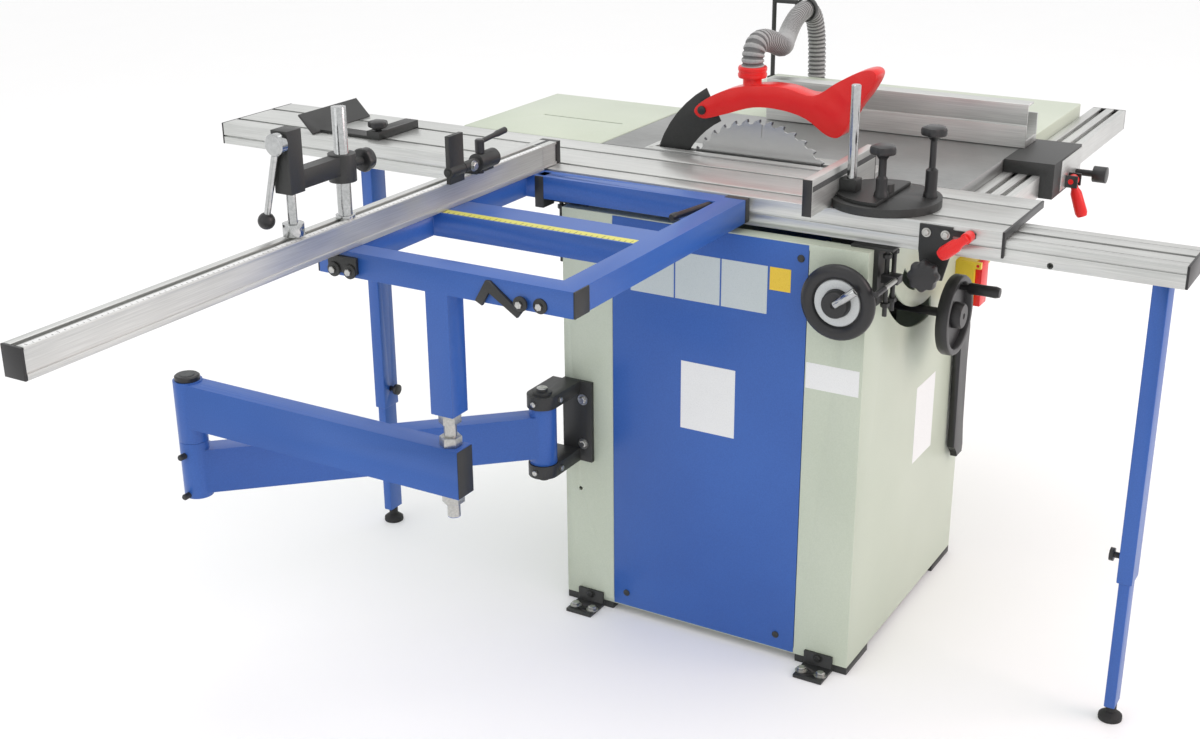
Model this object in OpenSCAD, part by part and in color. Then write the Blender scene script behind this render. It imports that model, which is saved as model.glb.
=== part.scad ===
// Sliding table saw: a sheet-steel cabinet with a tilting saw unit, a cast table, a sliding
// table on a long rail, an outrigger frame with a crosscut fence, and a swing arm under it.
// X runs to the operator's right, Y along the feed, Z up; the origin is on the floor
// at the middle of the cabinet.

/* [Cabinet] */
// Width of the cabinet, left to right
cab_w = 540; // [520:1:600]
// Depth of the cabinet, front to back
cab_d = 576; // [560:1:640]
// Height of the cabinet's top edge above the floor
cab_top = 780; // [760:1:860]
// Thickness of the cabinet's sheet steel
sheet = 4; // [3:0.5:6]
// Width of the panel in the left side
panel_w = 370; // [300:1:400]
// Thickness of the base plates under the corners
base_t = 14; // [8:1:24]

/* [Saw tables] */
// Width of the cast main table
main_w = 352; // [330:1:420]
// Length of the cast main table along the feed
main_l = 700; // [660:1:760]
// Thickness of the cast main table
main_t = 12; // [8:1:14]
// Length of the sheet table behind the main table
rear_l = 316; // [200:1:400]
// Width of the sheet table right of the main table
right_w = 423; // [420:1:440]
// Distance from the blade to the main table's left edge
blade_edge = 40; // [36:1:50]

/* [Sliding table] */
// Width of the sliding table
slide_w = 210; // [180:1:240]
// Length of the sliding table
slide_l = 1600; // [1400:10:2000]
// Reach of the sliding table in front of the cabinet's middle
slide_front = 490; // [440:1:560]
// Thickness of the sliding table's top
slab_t = 12; // [10:0.5:16]
// Width of the guide rail
rail_w = 110; // [90:1:120]
// Height of the guide rail
rail_h = 36; // [30:1:50]
// Length of the guide rail
rail_l = 1600; // [1500:10:2000]
// Reach of the guide rail in front of the cabinet's middle
rail_front = 765; // [700:1:800]

/* [Outrigger frame] */
// Side of the frame's square tubes
tube = 40; // [36:1:44]
// Wall of the frame's square tubes
tube_t = 3; // [2:0.5:5]
// Distance from the cabinet's middle to the frame's outer face
frame_out = 800; // [760:1:860]
// Reach of the frame in front of the cabinet's middle
frame_front = 60; // [40:1:90]
// Length of the post under the frame
post_l = 196; // [170:1:220]

/* [Crosscut fence] */
// Length of the crosscut fence
fence_l = 1158; // [1000:1:1400]
// Width of the crosscut fence
fence_w = 36; // [32:1:44]
// Height of the crosscut fence
fence_h = 43; // [38:1:50]
// Distance from the cabinet's middle back to the fence's working face
fence_at = 339; // [330:1:350]

/* [Swing arm] */
// Distance from the cabinet's side to the shoulder pin
shoulder_out = 90; // [80:1:110]
// Height of the middle of the lower arm
arm_z = 379; // [360:1:400]
// Depth of the arms' rectangular tubes
arm_h = 80; // [70:1:90]
// Width of the arms' rectangular tubes
arm_w = 40; // [36:1:44]
// Distance from the cabinet's middle back to the elbow
elbow_y = 722; // [680:1:760]
// Radius of the shoulder pin and the elbow spindle
arm_pin_r = 10; // [8:0.5:12]

/* [Saw unit] */
// Diameter of the saw blade
blade_d = 315; // [250:1:315]
// Thickness of the saw blade
kerf = 3.2; // [2.4:0.1:4]
// Height of the blade above the table
blade_up = 70; // [50:1:75]
// Number of teeth on the blade
teeth = 40; // [24:1:60]
// Radius of the motor
motor_r = 70; // [60:1:72]
// Radius of the arbor
arbor_r = 15; // [12:0.5:18]

/* [Handwheels] */
// Diameter of the two handwheels
wheel_d = 130; // [110:1:140]
// Radius of the handwheels' rims
rim_r = 11; // [8:0.5:13]

/* [Rip fence] */
// Distance from the cabinet's middle to the rip fence's face
rip_x = 310; // [290:1:320]
// Width of the rip fence
rip_w = 70; // [50:1:80]
// Height of the rip fence
rip_h = 81; // [60:1:90]
// Length of the rip fence
rip_l = 525; // [450:1:560]
// Length of the front rail that carries the rip fence
front_rail_l = 860; // [800:1:900]

/* [Legs] */
// Width of the legs' outer tubes
leg_w = 45; // [40:1:50]
// Depth of the legs' outer tubes
leg_d = 25; // [22:1:30]
// Wall of the legs' tubes
leg_t = 3; // [2:0.5:4]
// Height of the lower end of the outer tubes
leg_step = 265; // [240:1:320]

/* [Extraction hose] */
// Outside diameter of the hose over its ribs
hose_d = 44; // [38:1:46]
// Bore of the hose
hose_bore = 36; // [28:1:36]
// Number of ribs along the hose
hose_ribs = 140; // [80:1:150]

/* [Hidden] */

$fn = 48;
// One overrun for every cut
over = 1;
// Gap between faces that pass each other
pass_gap = 0.3;
// Running clearance of a pin or shaft in its bore
run_gap = 0.05;

function mid(c, w) = [c - w / 2, c + w / 2];
function from(a, h) = [a, a + h];
function past(s) = [s[0] - over, s[1] + over];

module box(x, y, z) {
    translate([x[0], y[0], z[0]])
        cube([x[1] - x[0], y[1] - y[0], z[1] - z[0]]);
}

module rod_x(y, z, r, x) {
    translate([x[0], y, z])
        rotate([0, 90, 0])
            cylinder(r = r, h = x[1] - x[0]);
}

module rod_y(x, z, r, y) {
    translate([x, y[1], z])
        rotate([90, 0, 0])
            cylinder(r = r, h = y[1] - y[0]);
}

module rod_z(x, y, r, z) {
    translate([x, y, z[0]])
        cylinder(r = r, h = z[1] - z[0]);
}

// A profile drawn in (y, z) and drawn out along X
module along_x(x) {
    translate([x[0], 0, 0])
        rotate([90, 0, 90])
            linear_extrude(x[1] - x[0])
                children();
}

// A profile drawn in (x, z) and drawn out along Y
module along_y(y) {
    translate([0, y[1], 0])
        rotate([90, 0, 0])
            linear_extrude(y[1] - y[0])
                children();
}

module along_z(z) {
    translate([0, 0, z[0]])
        linear_extrude(z[1] - z[0])
            children();
}

module rect(a, b) {
    translate([a[0], b[0]])
        square([a[1] - a[0], b[1] - b[0]]);
}

// A square tube along one axis, open at both ends
module tube_x(x, y, z, t) {
    difference() {
        box(x, y, z);
        box(past(x), [y[0] + t, y[1] - t], [z[0] + t, z[1] - t]);
    }
}

module tube_y(x, y, z, t) {
    difference() {
        box(x, y, z);
        box([x[0] + t, x[1] - t], past(y), [z[0] + t, z[1] - t]);
    }
}

module tube_z(x, y, z, t) {
    difference() {
        box(x, y, z);
        box([x[0] + t, x[1] - t], [y[0] + t, y[1] - t], past(z));
    }
}

// A T-slot opening upwards, drawn around x = 0 with its mouth at z = 0
module t_slot(mouth, neck, foot, drop) {
    rect(mid(0, mouth), [-neck, over]);
    rect(mid(0, foot), [-drop, -neck]);
}

// A smooth closed outline through a few points
function spline_point(a, b, c, d, t) =
    0.5 * (2 * b + (c - a) * t + (2 * a - 5 * b + 4 * c - d) * t * t + (3 * b - a - 3 * c + d) * t * t * t);
function closed_spline(p, steps) = [
    for (i = [0 : len(p) - 1], k = [0 : steps - 1])
        let (n = len(p))
        spline_point(p[(i + n - 1) % n], p[i], p[(i + 1) % n], p[(i + 2) % n], k / steps)
];

// Main places that many pieces share
shelf_t = 4;
slide_run = 3;
cab_x = cab_w / 2;
cab_y = cab_d / 2;
rail_z = [cab_top + shelf_t, cab_top + shelf_t + rail_h];
slab_z = [rail_z[1] + slide_run, rail_z[1] + slide_run + slab_t];
table_z = slab_z[1];
blade_x = 18;
blade_y = 43;
blade_r = blade_d / 2;
arbor_z = table_z + blade_up - blade_r;
main_x = [blade_x - blade_edge, blade_x - blade_edge + main_w];
main_y = mid(0, main_l);
table_gap = 4;
skirt_t = 6;
skirt_gap = 2;
slide_x = [main_x[0] - table_gap - slide_w, main_x[0] - table_gap];
slide_y = from(-slide_front, slide_l);
rail_x = from(slide_x[0] + skirt_t + skirt_gap, rail_w);
rail_mid = (rail_x[0] + rail_x[1]) / 2;
rail_y = from(-rail_front, rail_l);

// Colours
cream = [0.80, 0.81, 0.74];
blue = [0.17, 0.33, 0.66];
black = [0.09, 0.09, 0.10];
alloy = [0.78, 0.79, 0.78];
steel = [0.62, 0.63, 0.64];
iron = [0.42, 0.43, 0.42];
red = [0.83, 0.10, 0.10];

// Cabinet: folded shell with a rebated opening for the side panel, arc slots in front
// for the height shaft and the tilt scale, vents behind, and holes for shafts and ducts
top_lip = 30;
end_lip = 6;
panel_t = 2;
panel_deep = 2.5;
panel_gap = 1;
panel_lip = 12;
panel_margin = 12;
tilt_shaft_y = -253;
tilt_shaft_z = 702;
tilt_shaft_r = 7;
shaft_room = 3;
raise_shaft_x = 8;
raise_shaft_z = 601;
raise_slot_w = 36;
scale_slot_w = 22;
scale_slot_drop = 58;
raise_slot_low = 6;
raise_slot_r = table_z - raise_shaft_z + raise_slot_low;
arc_min = -8;
arc_max = 50;
scale_min = 16;
scale_max = 42;
duct_r = 50;
duct_t = 2;
duct_z = 190;
spigot_r = 17;
spigot_t = 2.5;
spigot_y = 240;
spigot_z = 300;
vent_w = 90;
vent_h = 6;
vent_step = 22;
vent_rows = 6;
vent_z = 420;
peg_x = 215;
peg_z = 525;
peg_r = 4.4;
peg_l = 18;
hole_y = 257;
hole_z = 238;
hole_r = 4;
panel_z = [base_t + panel_margin, cab_top - panel_margin];

module arc_slot(r, w, from_deg, to_deg) {
    translate([blade_x, -cab_y + sheet + over, table_z])
        rotate([90, 0, 0])
            rotate([0, 0, -90 - to_deg])
                rotate_extrude(angle = to_deg - from_deg)
                    translate([r - w / 2, 0])
                        square([w, sheet + 2 * over]);
}

module cabinet_shell() {
    color(cream) {
        difference() {
            box(mid(0, cab_w), mid(0, cab_d), [base_t, cab_top]);
            box(mid(0, cab_w - 2 * sheet), mid(0, cab_d - 2 * sheet), [base_t - over, cab_top - sheet]);
            box(mid(0, cab_w - 2 * top_lip), mid(0, cab_d - 2 * end_lip), past([cab_top - sheet, cab_top]));
            box([-cab_x - over, -cab_x + panel_deep], mid(0, panel_w + 2 * panel_gap),
                [panel_z[0] - panel_gap, panel_z[1] + panel_gap]);
            box(past([-cab_x, -cab_x + sheet]), mid(0, panel_w - 2 * panel_lip),
                [panel_z[0] + panel_lip, panel_z[1] - panel_lip]);
            arc_slot(raise_slot_r, raise_slot_w, arc_min, arc_max);
            arc_slot(raise_slot_r - scale_slot_drop, scale_slot_w, scale_min, scale_max);
            rod_x(tilt_shaft_y, tilt_shaft_z, tilt_shaft_r + shaft_room, past([-cab_x, -cab_x + sheet]));
            rod_x(hole_y, hole_z, hole_r, past([-cab_x, -cab_x + sheet]));
            rod_y(0, duct_z, duct_r - duct_t, past([cab_y - sheet, cab_y]));
            rod_x(spigot_y, spigot_z, spigot_r - spigot_t, past([cab_x - sheet, cab_x]));
            for (i = [0 : vent_rows - 1])
                box(mid(0, vent_w), past([cab_y - sheet, cab_y]), from(vent_z + i * vent_step, vent_h));
        }
        rod_y(peg_x, peg_z, peg_r, [-cab_y - peg_l, -cab_y]);
    }
}

module side_panel() {
    color(blue)
        box(from(-cab_x + panel_deep - panel_t, panel_t), mid(0, panel_w), panel_z);
}

// Base feet: a plate under each corner with an ear that takes two floor bolts
foot_w = 100;
ear_out = 52;
ear_w = 54;
ear_t = 6;
ear_in = 53;
ear_up = 30;
ear_wall = 5;
bolt_r = 5.5;
bolt_out = 32;
bolt_in = [36, 72];

module base_foot() {
    difference() {
        union() {
            box([cab_x - foot_w, cab_x], [cab_y - foot_w, cab_y], [0, base_t]);
            box(from(cab_x, ear_out), mid(cab_y - ear_in, ear_w), [0, ear_t]);
            box(from(cab_x, ear_wall), mid(cab_y - ear_in, ear_w), [0, ear_up]);
        }
        for (y = bolt_in)
            rod_z(cab_x + bolt_out, cab_y - y, bolt_r, past([0, ear_t]));
    }
}

module base_feet() {
    color(black)
        for (sx = [0, 1], sy = [0, 1])
            mirror([sx, 0, 0])
                mirror([0, sy, 0])
                    base_foot();
}

// Main table: ribbed casting with a ledge for the throat plate, pads down to the cabinet
// and two lugs that carry the tilting cradle
main_rim = 38;
main_rim_t = 14;
left_rim = 14;
pad_w = 24;
pad_x = [84, 240];
throat_x = [-14, 66];
throat_y = [-185, 265];
throat_t = 6;
throat_ledge = 15;
rib_t = 8;
cradle_y = [-215, 255];
cradle_t = 12;
lug_t = 11;
lug_x = [62, 112];
lug_drop = 92;

module main_table() {
    color(iron) {
        difference() {
            box(main_x, main_y, [table_z - main_rim, table_z]);
            box([main_x[0] + main_rim_t, main_x[1] - main_rim_t],
                [main_y[0] + main_rim_t, main_y[1] - main_rim_t],
                [table_z - main_rim - over, table_z - main_t]);
            box([main_x[0] - over, main_x[0] + main_rim_t + over],
                [main_y[0] + main_rim_t, main_y[1] - main_rim_t],
                [table_z - main_rim - over, table_z - left_rim]);
            box(throat_x, throat_y, [table_z - throat_t, table_z + over]);
            box(throat_x, [throat_y[0] + throat_ledge, throat_y[1] - throat_ledge],
                [table_z - main_rim - over, table_z]);
        }
        for (x = pad_x, s = [-1, 1])
            box(mid(x, pad_w), mid(s * (cab_y - sheet / 2), pad_w), [cab_top, table_z - main_t]);
        for (y = cradle_y)
            box(lug_x, from(y + cradle_t + pass_gap, lug_t), [table_z - lug_drop, table_z - main_t]);
        box([lug_x[1], main_x[1] - main_rim_t], mid(0, rib_t), [table_z - main_rim, table_z - main_t]);
    }
}

// Throat plate: insert with a slot wide enough for the tilted blade
throat_fit = 0.2;
slot_x = [6, 24];
slot_y = [-125, 252];

module throat_plate() {
    color(alloy)
        difference() {
            box([throat_x[0] + throat_fit, throat_x[1] - throat_fit],
                [throat_y[0] + throat_fit, throat_y[1] - throat_fit], [table_z - throat_t, table_z]);
            box(slot_x, slot_y, past([table_z - throat_t, table_z]));
        }
}

// Sheet tables: folded trays hung on the cast table by two tabs
tray_t = 3;
tray_skirt = 30;
rear_gap = 4;
right_gap = 2;
tab_w = 40;
tab_shares = [0.25, 0.75];
tab_h = 24;
rear_slot_x = 140;
rear_slot_w = 5;
rear_slot_from = 45;
rear_slot_l = 185;
rear_y = from(main_y[1] + rear_gap, rear_l);
right_x = from(main_x[1] + right_gap, right_w);
right_margin = 5;
right_y = [main_y[0] + right_margin, main_y[1] - right_margin];

module tray(x, y) {
    difference() {
        box(x, y, [table_z - tray_skirt, table_z]);
        box([x[0] + tray_t, x[1] - tray_t], [y[0] + tray_t, y[1] - tray_t],
            [table_z - tray_skirt - over, table_z - tray_t]);
    }
}

module rear_table() {
    color(cream) {
        difference() {
            tray([main_x[0], main_x[1]], rear_y);
            box(mid(rear_slot_x, rear_slot_w), from(rear_y[0] + rear_slot_from, rear_slot_l),
                past([table_z - tray_t, table_z]));
        }
        for (s = tab_shares)
            box(mid(main_x[0] + s * main_w, tab_w), [main_y[1], rear_y[0]], from(table_z - tray_skirt, tab_h));
    }
}

module right_table() {
    color(cream) {
        tray(right_x, right_y);
        for (s = tab_shares)
            box([main_x[1], right_x[0]], mid(main_y[0] + s * main_l, tab_w), from(table_z - tray_skirt, tab_h));
    }
}

// Front rail: slotted extrusion along the front of the tables
front_rail_w = 68;
front_rail_h = 40;
front_rail_drop = 63;
front_rail_z = from(table_z - front_rail_drop, front_rail_h);
rail_slot = 10;
rail_slot_neck = 4;
rail_slot_foot = 18;
rail_slot_drop = 10;
front_rail_y = [main_y[0] - front_rail_w, main_y[0]];
front_rail_x = from(main_x[0], front_rail_l);
front_slot_shares = [0.27, 0.66];

module fence_rail() {
    color(alloy)
        along_x(front_rail_x)
            difference() {
                rect(front_rail_y, front_rail_z);
                for (s = front_slot_shares)
                    translate([front_rail_y[0] + s * front_rail_w, front_rail_z[1]])
                        t_slot(rail_slot, rail_slot_neck, rail_slot_foot, rail_slot_drop);
            }
}

// Guide rail of the sliding table: extrusion with a middle slot and two rod tracks
track_w = 12;
track_in = 6;
track_groove = 3;
rail_step_z = 12;
rail_bore_r = 5;
rail_bore_at = 200;
rail_bore_drop = 30;
rail_pocket = 24;

module slide_rail() {
    color(alloy)
        difference() {
            along_y(rail_y)
                difference() {
                    rect(rail_x, rail_z);
                    translate([rail_mid, rail_z[1]])
                        t_slot(rail_slot, rail_slot_neck, rail_slot_foot, rail_slot_drop);
                    for (x = [rail_x[0] + track_in + track_w, rail_x[1] - track_in - track_w - track_groove])
                        rect(from(x, track_groove), from(rail_z[1] - track_groove, track_groove + over));
                    rect([rail_x[0] - over, rail_x[0] + track_groove],
                         mid(rail_z[1] - rail_step_z, track_groove));
                    rect(mid(rail_mid, rail_w - 2 * rail_pocket),
                         [rail_z[0] + track_w / 2, rail_z[1] - rail_h / 2]);
                }
            rod_x(rail_y[0] + rail_bore_at, rail_z[1] - rail_bore_drop, rail_bore_r,
                  [rail_x[0] - over, rail_x[0] + rail_pocket]);
        }
}

// Rail brackets: an angle at the front and back of the cabinet with two levelling studs
angle_out = 32;
angle_in = 40;
angle_w = 50;
angle_drop = 95;
angle_t = 8;
angle_side = 20;
stud_r = 4;
stud_drop = 112;
stud_off = 20;
stud_in = 9;

module rail_bracket() {
    angle_x = from(rail_x[0] - angle_side, angle_w);
    box([rail_x[0] - angle_side, rail_x[1]], [-cab_y - angle_out, -cab_y + angle_in], [cab_top, rail_z[0]]);
    box(angle_x, [-cab_y - angle_t, -cab_y], [cab_top - angle_drop, cab_top]);
    for (x = [angle_x[0] + stud_in, angle_x[1] - stud_in])
        rod_z(x, -cab_y - stud_off, stud_r, [cab_top - stud_drop, cab_top]);
}

module rail_brackets() {
    color(black)
        for (s = [0, 1])
            mirror([0, s, 0])
                rail_bracket();
}

// Legs: an outer tube with a flange under the rail, an inner tube with a rubber foot,
// and a thumb screw that clamps them
leg_front_in = 40;
leg_rear_in = 50;
leg_flange_t = 4;
leg_flange_w = 53;
leg_flange_in = 14;
leg_slack = 0.5;
leg_inner = [leg_w - 2 * leg_t - 2 * leg_slack, leg_d - 2 * leg_t - 2 * leg_slack];
leg_inner_top = 480;
leg_foot_r = 20;
leg_foot_h = 14;
leg_stem_r = 8;
leg_stem_top = 30;
thumb_r = 5;
thumb_up = 39;
thumb_head_r = 11;
thumb_head_l = 7;
thumb_stem = 12;
leg_front_y = rail_y[0] + leg_front_in;
leg_rear_y = rail_y[1] - leg_rear_in;

module leg_tube(y, s) {
    difference() {
        union() {
            box(mid(rail_mid, leg_w), mid(y, leg_d), [leg_step, rail_z[0] - leg_flange_t]);
            box(mid(rail_mid, leg_w), mid(y + s * leg_flange_in, leg_flange_w),
                [rail_z[0] - leg_flange_t, rail_z[0]]);
        }
        box(mid(rail_mid, leg_w - 2 * leg_t), mid(y, leg_d - 2 * leg_t),
            [leg_step - over, rail_z[0] - leg_flange_t]);
        rod_y(rail_mid, leg_step + thumb_up, thumb_r + run_gap,
              mid(y + s * (leg_d - leg_t) / 2, leg_t + 2 * over));
    }
}

module leg_tubes() {
    color(blue) {
        leg_tube(leg_front_y, 1);
        leg_tube(leg_rear_y, -1);
    }
}

module leg_inner_tube(y) {
    box(mid(rail_mid, leg_inner[0]), mid(y, leg_inner[1]), [leg_stem_top, leg_inner_top]);
    rod_z(rail_mid, y, leg_stem_r, [leg_foot_h, leg_stem_top]);
    translate([rail_mid, y, 0])
        rotate_extrude()
            polygon([
                [0, 0], [leg_foot_r, 0], [leg_foot_r, leg_foot_h / 2], [leg_stem_r, leg_foot_h], [0, leg_foot_h]
            ]);
}

module front_leg_inner() {
    color(blue)
        leg_inner_tube(leg_front_y);
}

module rear_leg_inner() {
    color(blue)
        leg_inner_tube(leg_rear_y);
}

module leg_screw(y, s) {
    head = leg_d / 2 + thumb_stem;
    translate([rail_mid, y, leg_step + thumb_up])
        rotate([-90 * s, 0, 0]) {
            rod_z(0, 0, thumb_r, [leg_inner[1] / 2 + pass_gap, head]);
            rod_z(0, 0, thumb_head_r, from(head, thumb_head_l));
        }
}

module front_leg_screw() {
    color(black)
        leg_screw(leg_front_y, 1);
}

module rear_leg_screw() {
    color(black)
        leg_screw(leg_rear_y, -1);
}

// Swing arm: a bracket with two lugs and a pin on the cabinet's rear post, two arms of
// rectangular tube with barrels, and a stud under the frame's post
bracket_w = 61;
bracket_t = 8;
lug_h = 24;
lug_r = 28;
shoulder_in = 8;
barrel_r = 25;
barrel_over = 15;
barrel_gap = 0.6;
pin_over = 10;
pin_collar_r = 18;
arm_t = 4;
arm_front_in = 4;
arm_flush = 2;
shoulder_x = -cab_x - shoulder_out;
shoulder_y = cab_y - shoulder_in;
elbow_x = -frame_out + tube / 2;
lower_z = mid(arm_z, arm_h);
lug_z = [lower_z[0] - barrel_over, lower_z[1] + barrel_over];
elbow_low_z = [lower_z[0] - barrel_over / 2, lower_z[1] + barrel_over];
elbow_high_z = from(elbow_low_z[1] + barrel_gap, arm_h + 2 * barrel_over);
upper_z = from(elbow_high_z[1] - arm_flush - arm_h, arm_h);
post_x = from(-frame_out, tube);
frame_drop = 2;
frame_z = [table_z - frame_drop - tube, table_z - frame_drop];
post_back = 216;
post_y = from(post_back - frame_front, tube);
post_z = [frame_z[0] - post_l, frame_z[0]];
stud_y = (post_y[0] + post_y[1]) / 2;
bracket_y = [cab_y - bracket_w, cab_y];

module lug(z) {
    along_z(z)
        difference() {
            union() {
                rect([shoulder_x, -cab_x], mid(shoulder_y, 2 * lug_r));
                translate([shoulder_x, shoulder_y])
                    circle(r = lug_r);
            }
            rect([-cab_x - bracket_t - over, -cab_x + over], [cab_y, cab_y + lug_r]);
        }
}

module arm_bracket() {
    color(black) {
        box([-cab_x - bracket_t, -cab_x], bracket_y, [lug_z[0] - lug_h, lug_z[1] + lug_h]);
        lug([lug_z[0] - lug_h, lug_z[0]]);
        lug([lug_z[1], lug_z[1] + lug_h]);
        rod_z(shoulder_x, shoulder_y, arm_pin_r, [lug_z[0] - lug_h - pin_over, lug_z[1] + lug_h + pin_over]);
        rod_z(shoulder_x, shoulder_y, pin_collar_r, [lug_z[1] + lug_h, lug_z[1] + lug_h + pin_over / 2]);
    }
}

arm_run = [elbow_x - shoulder_x, elbow_y - shoulder_y];
lower_l = norm(arm_run);
lower_deg = atan2(arm_run[1], arm_run[0]);

module lower_arm() {
    color(blue)
        difference() {
            union() {
                translate([shoulder_x, shoulder_y, 0])
                    rotate([0, 0, lower_deg])
                        tube_x([barrel_r / 2, lower_l - barrel_r / 2], mid(0, arm_w), lower_z, arm_t);
                rod_z(shoulder_x, shoulder_y, barrel_r, [lug_z[0] + pass_gap, lug_z[1] - pass_gap]);
                rod_z(elbow_x, elbow_y, barrel_r, elbow_low_z);
                rod_z(elbow_x, elbow_y, arm_pin_r, [elbow_low_z[0], elbow_high_z[1] + pin_over]);
            }
            rod_z(shoulder_x, shoulder_y, arm_pin_r + run_gap, past(lug_z));
        }
}

nut_r = 17;
nut_h = 16;
stud_tail = 40;

module support_stud() {
    rod_z(elbow_x, stud_y, arm_pin_r, [upper_z[0] - stud_tail, post_z[0] - pass_gap]);
    translate([elbow_x, stud_y, upper_z[1]])
        cylinder(r = nut_r, h = nut_h, $fn = 6);
    translate([elbow_x, stud_y, upper_z[0] - nut_h])
        cylinder(r = nut_r, h = nut_h, $fn = 6);
}

module upper_arm() {
    color(steel)
        support_stud();
    color(blue)
        difference() {
            union() {
                tube_y(mid(elbow_x, arm_w), [post_y[0] - arm_front_in, elbow_y - barrel_r / 2], upper_z, arm_t);
                rod_z(elbow_x, elbow_y, barrel_r, elbow_high_z);
            }
            rod_z(elbow_x, elbow_y, arm_pin_r + run_gap, past(elbow_high_z));
            rod_z(elbow_x, stud_y, arm_pin_r + run_gap, past(upper_z));
        }
}

// Sliding table: extruded top with two T-slots, a deep near skirt, a short far lip and
// two runners that sit on the rail's tracks
skirt_drop = 30;
far_lip = 3;
slide_slot_x = [45, 150];
slide_slot_neck = 3.5;
slide_slot_drop = 8;
face_groove = 3;
face_groove_z = 26;

module sliding_table() {
    color(alloy)
        along_y(slide_y)
            difference() {
                union() {
                    rect(slide_x, slab_z);
                    rect(from(slide_x[0], skirt_t), [slab_z[0] - skirt_drop, slab_z[0]]);
                    rect([slide_x[1] - skirt_t, slide_x[1]], [slab_z[0] - far_lip, slab_z[0]]);
                    for (x = [rail_x[0] + track_in, rail_x[1] - track_in - track_w])
                        rect(from(x, track_w), [rail_z[1] + pass_gap, slab_z[0]]);
                }
                for (x = slide_slot_x)
                    translate([slide_x[0] + x, slab_z[1]])
                        t_slot(rail_slot, slide_slot_neck, rail_slot_foot, slide_slot_drop);
                rect([slide_x[0] - over, slide_x[0] + face_groove], mid(table_z - face_groove_z, face_groove));
            }
}

// Table lock: a plate on the near skirt with a clamp lever and a stop knob
lock_t = 4;
lock_y = [-412, -358];
lock_low = 92;
lock_top = 3;
lock_mid = 45;
lock_tip_shares = [0.22, 0.62];
lock_lever_y = -440;
lock_lever_drop = 10;
lock_lever_r = 4;
lock_boss_l = 22;
lock_boss_r = 9;
lock_boss_gap = 0.5;
lock_grip_r = 8;
lock_grip_l = 48;
lock_grip_off = 6;
lock_grip_deg = 220;
lock_knob_r = 26;
lock_knob_drop = 78;
lock_knob_y = -380;
lock_knob_l = 24;
lock_knob_gap = 18;
lock_screw_r = 5;
lock_out = slide_x[0] - lock_t;

module lock_plate() {
    w = lock_y[1] - lock_y[0];
    color(black)
        difference() {
            union() {
                along_x([lock_out, slide_x[0]])
                    polygon([
                        [lock_y[0], table_z - lock_top],
                        [lock_y[1], table_z - lock_top],
                        [lock_y[1], table_z - lock_mid],
                        [lock_y[0] + lock_tip_shares[1] * w + lock_knob_r / 2, table_z - lock_low],
                        [lock_y[0] + lock_tip_shares[0] * w, table_z - lock_low],
                        [lock_y[0], table_z - lock_mid]
                    ]);
                box([lock_out, slide_x[0]], [lock_lever_y - lock_boss_r, lock_y[0]],
                    mid(table_z - lock_boss_r - lock_top, lock_boss_r));
            }
            rod_x(lock_knob_y, table_z - lock_knob_drop, lock_screw_r + run_gap, past([lock_out, slide_x[0]]));
            rod_x(lock_lever_y, table_z - lock_top - lock_boss_r, lock_lever_r, past([lock_out, slide_x[0]]));
        }
}

module lock_lever() {
    z = table_z - lock_top - lock_boss_r;
    color(red) {
        rod_x(lock_lever_y, z, lock_boss_r, [lock_out - lock_boss_gap - lock_boss_l, lock_out - lock_boss_gap]);
        rod_x(lock_lever_y, z, lock_lever_r - run_gap, [lock_out - lock_boss_l, slide_x[0]]);
        translate([lock_out - lock_boss_l, lock_lever_y, z])
            rotate([-lock_grip_deg, 0, 0])
                rod_y(0, 0, lock_grip_r, [-lock_grip_l - lock_grip_off, 0]);
    }
}

module lock_knob() {
    z = table_z - lock_knob_drop;
    color(black) {
        translate([lock_out - lock_knob_gap - lock_knob_l, lock_knob_y, z])
            rotate([0, 90, 0])
                cylinder(r = lock_knob_r, h = lock_knob_l, $fn = 8);
        rod_x(lock_knob_y, z, lock_screw_r, [lock_out - lock_knob_gap, slide_x[0]]);
    }
}

// Outrigger frame: welded square tube with a post for the swing arm and a block
// that takes the crosscut fence's pivot
frame_seat = 6;
fence_over = 15;
mid_tube_x = [-560, -520];
post_plate = 5;
pivot_r = 8;
frame_x = from(-frame_out, tube);
frame_in = slide_x[0] - frame_seat;
frame_rear = fence_at + fence_over + tube;
front_tube_y = from(-frame_front, tube);
rear_tube_y = from(fence_at + fence_over, tube);
inner_tube_x = [frame_in - tube, frame_in];
pivot_x = (inner_tube_x[0] + inner_tube_x[1]) / 2;
pivot_y = fence_at + fence_w / 2;

module outrigger_frame() {
    color(blue)
        difference() {
            union() {
                tube_y(frame_x, [-frame_front, frame_rear], frame_z, tube_t);
                tube_x([frame_x[1], frame_in], front_tube_y, frame_z, tube_t);
                tube_x([frame_x[1], inner_tube_x[0]], rear_tube_y, frame_z, tube_t);
                tube_y(inner_tube_x, [front_tube_y[1], rear_tube_y[0]], frame_z, tube_t);
                for (x = mid_tube_x)
                    tube_y(from(x, tube), [front_tube_y[1], rear_tube_y[0]], frame_z, tube_t);
                box(inner_tube_x, rear_tube_y, frame_z);
                tube_z(post_x, post_y, post_z, tube_t);
                box(post_x, post_y, from(post_z[0], post_plate));
                for (y = [front_tube_y, rear_tube_y])
                    box([frame_in, slide_x[0]], y, frame_z);
            }
            rod_z(pivot_x, pivot_y, pivot_r + run_gap, past(frame_z));
        }
}

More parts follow.
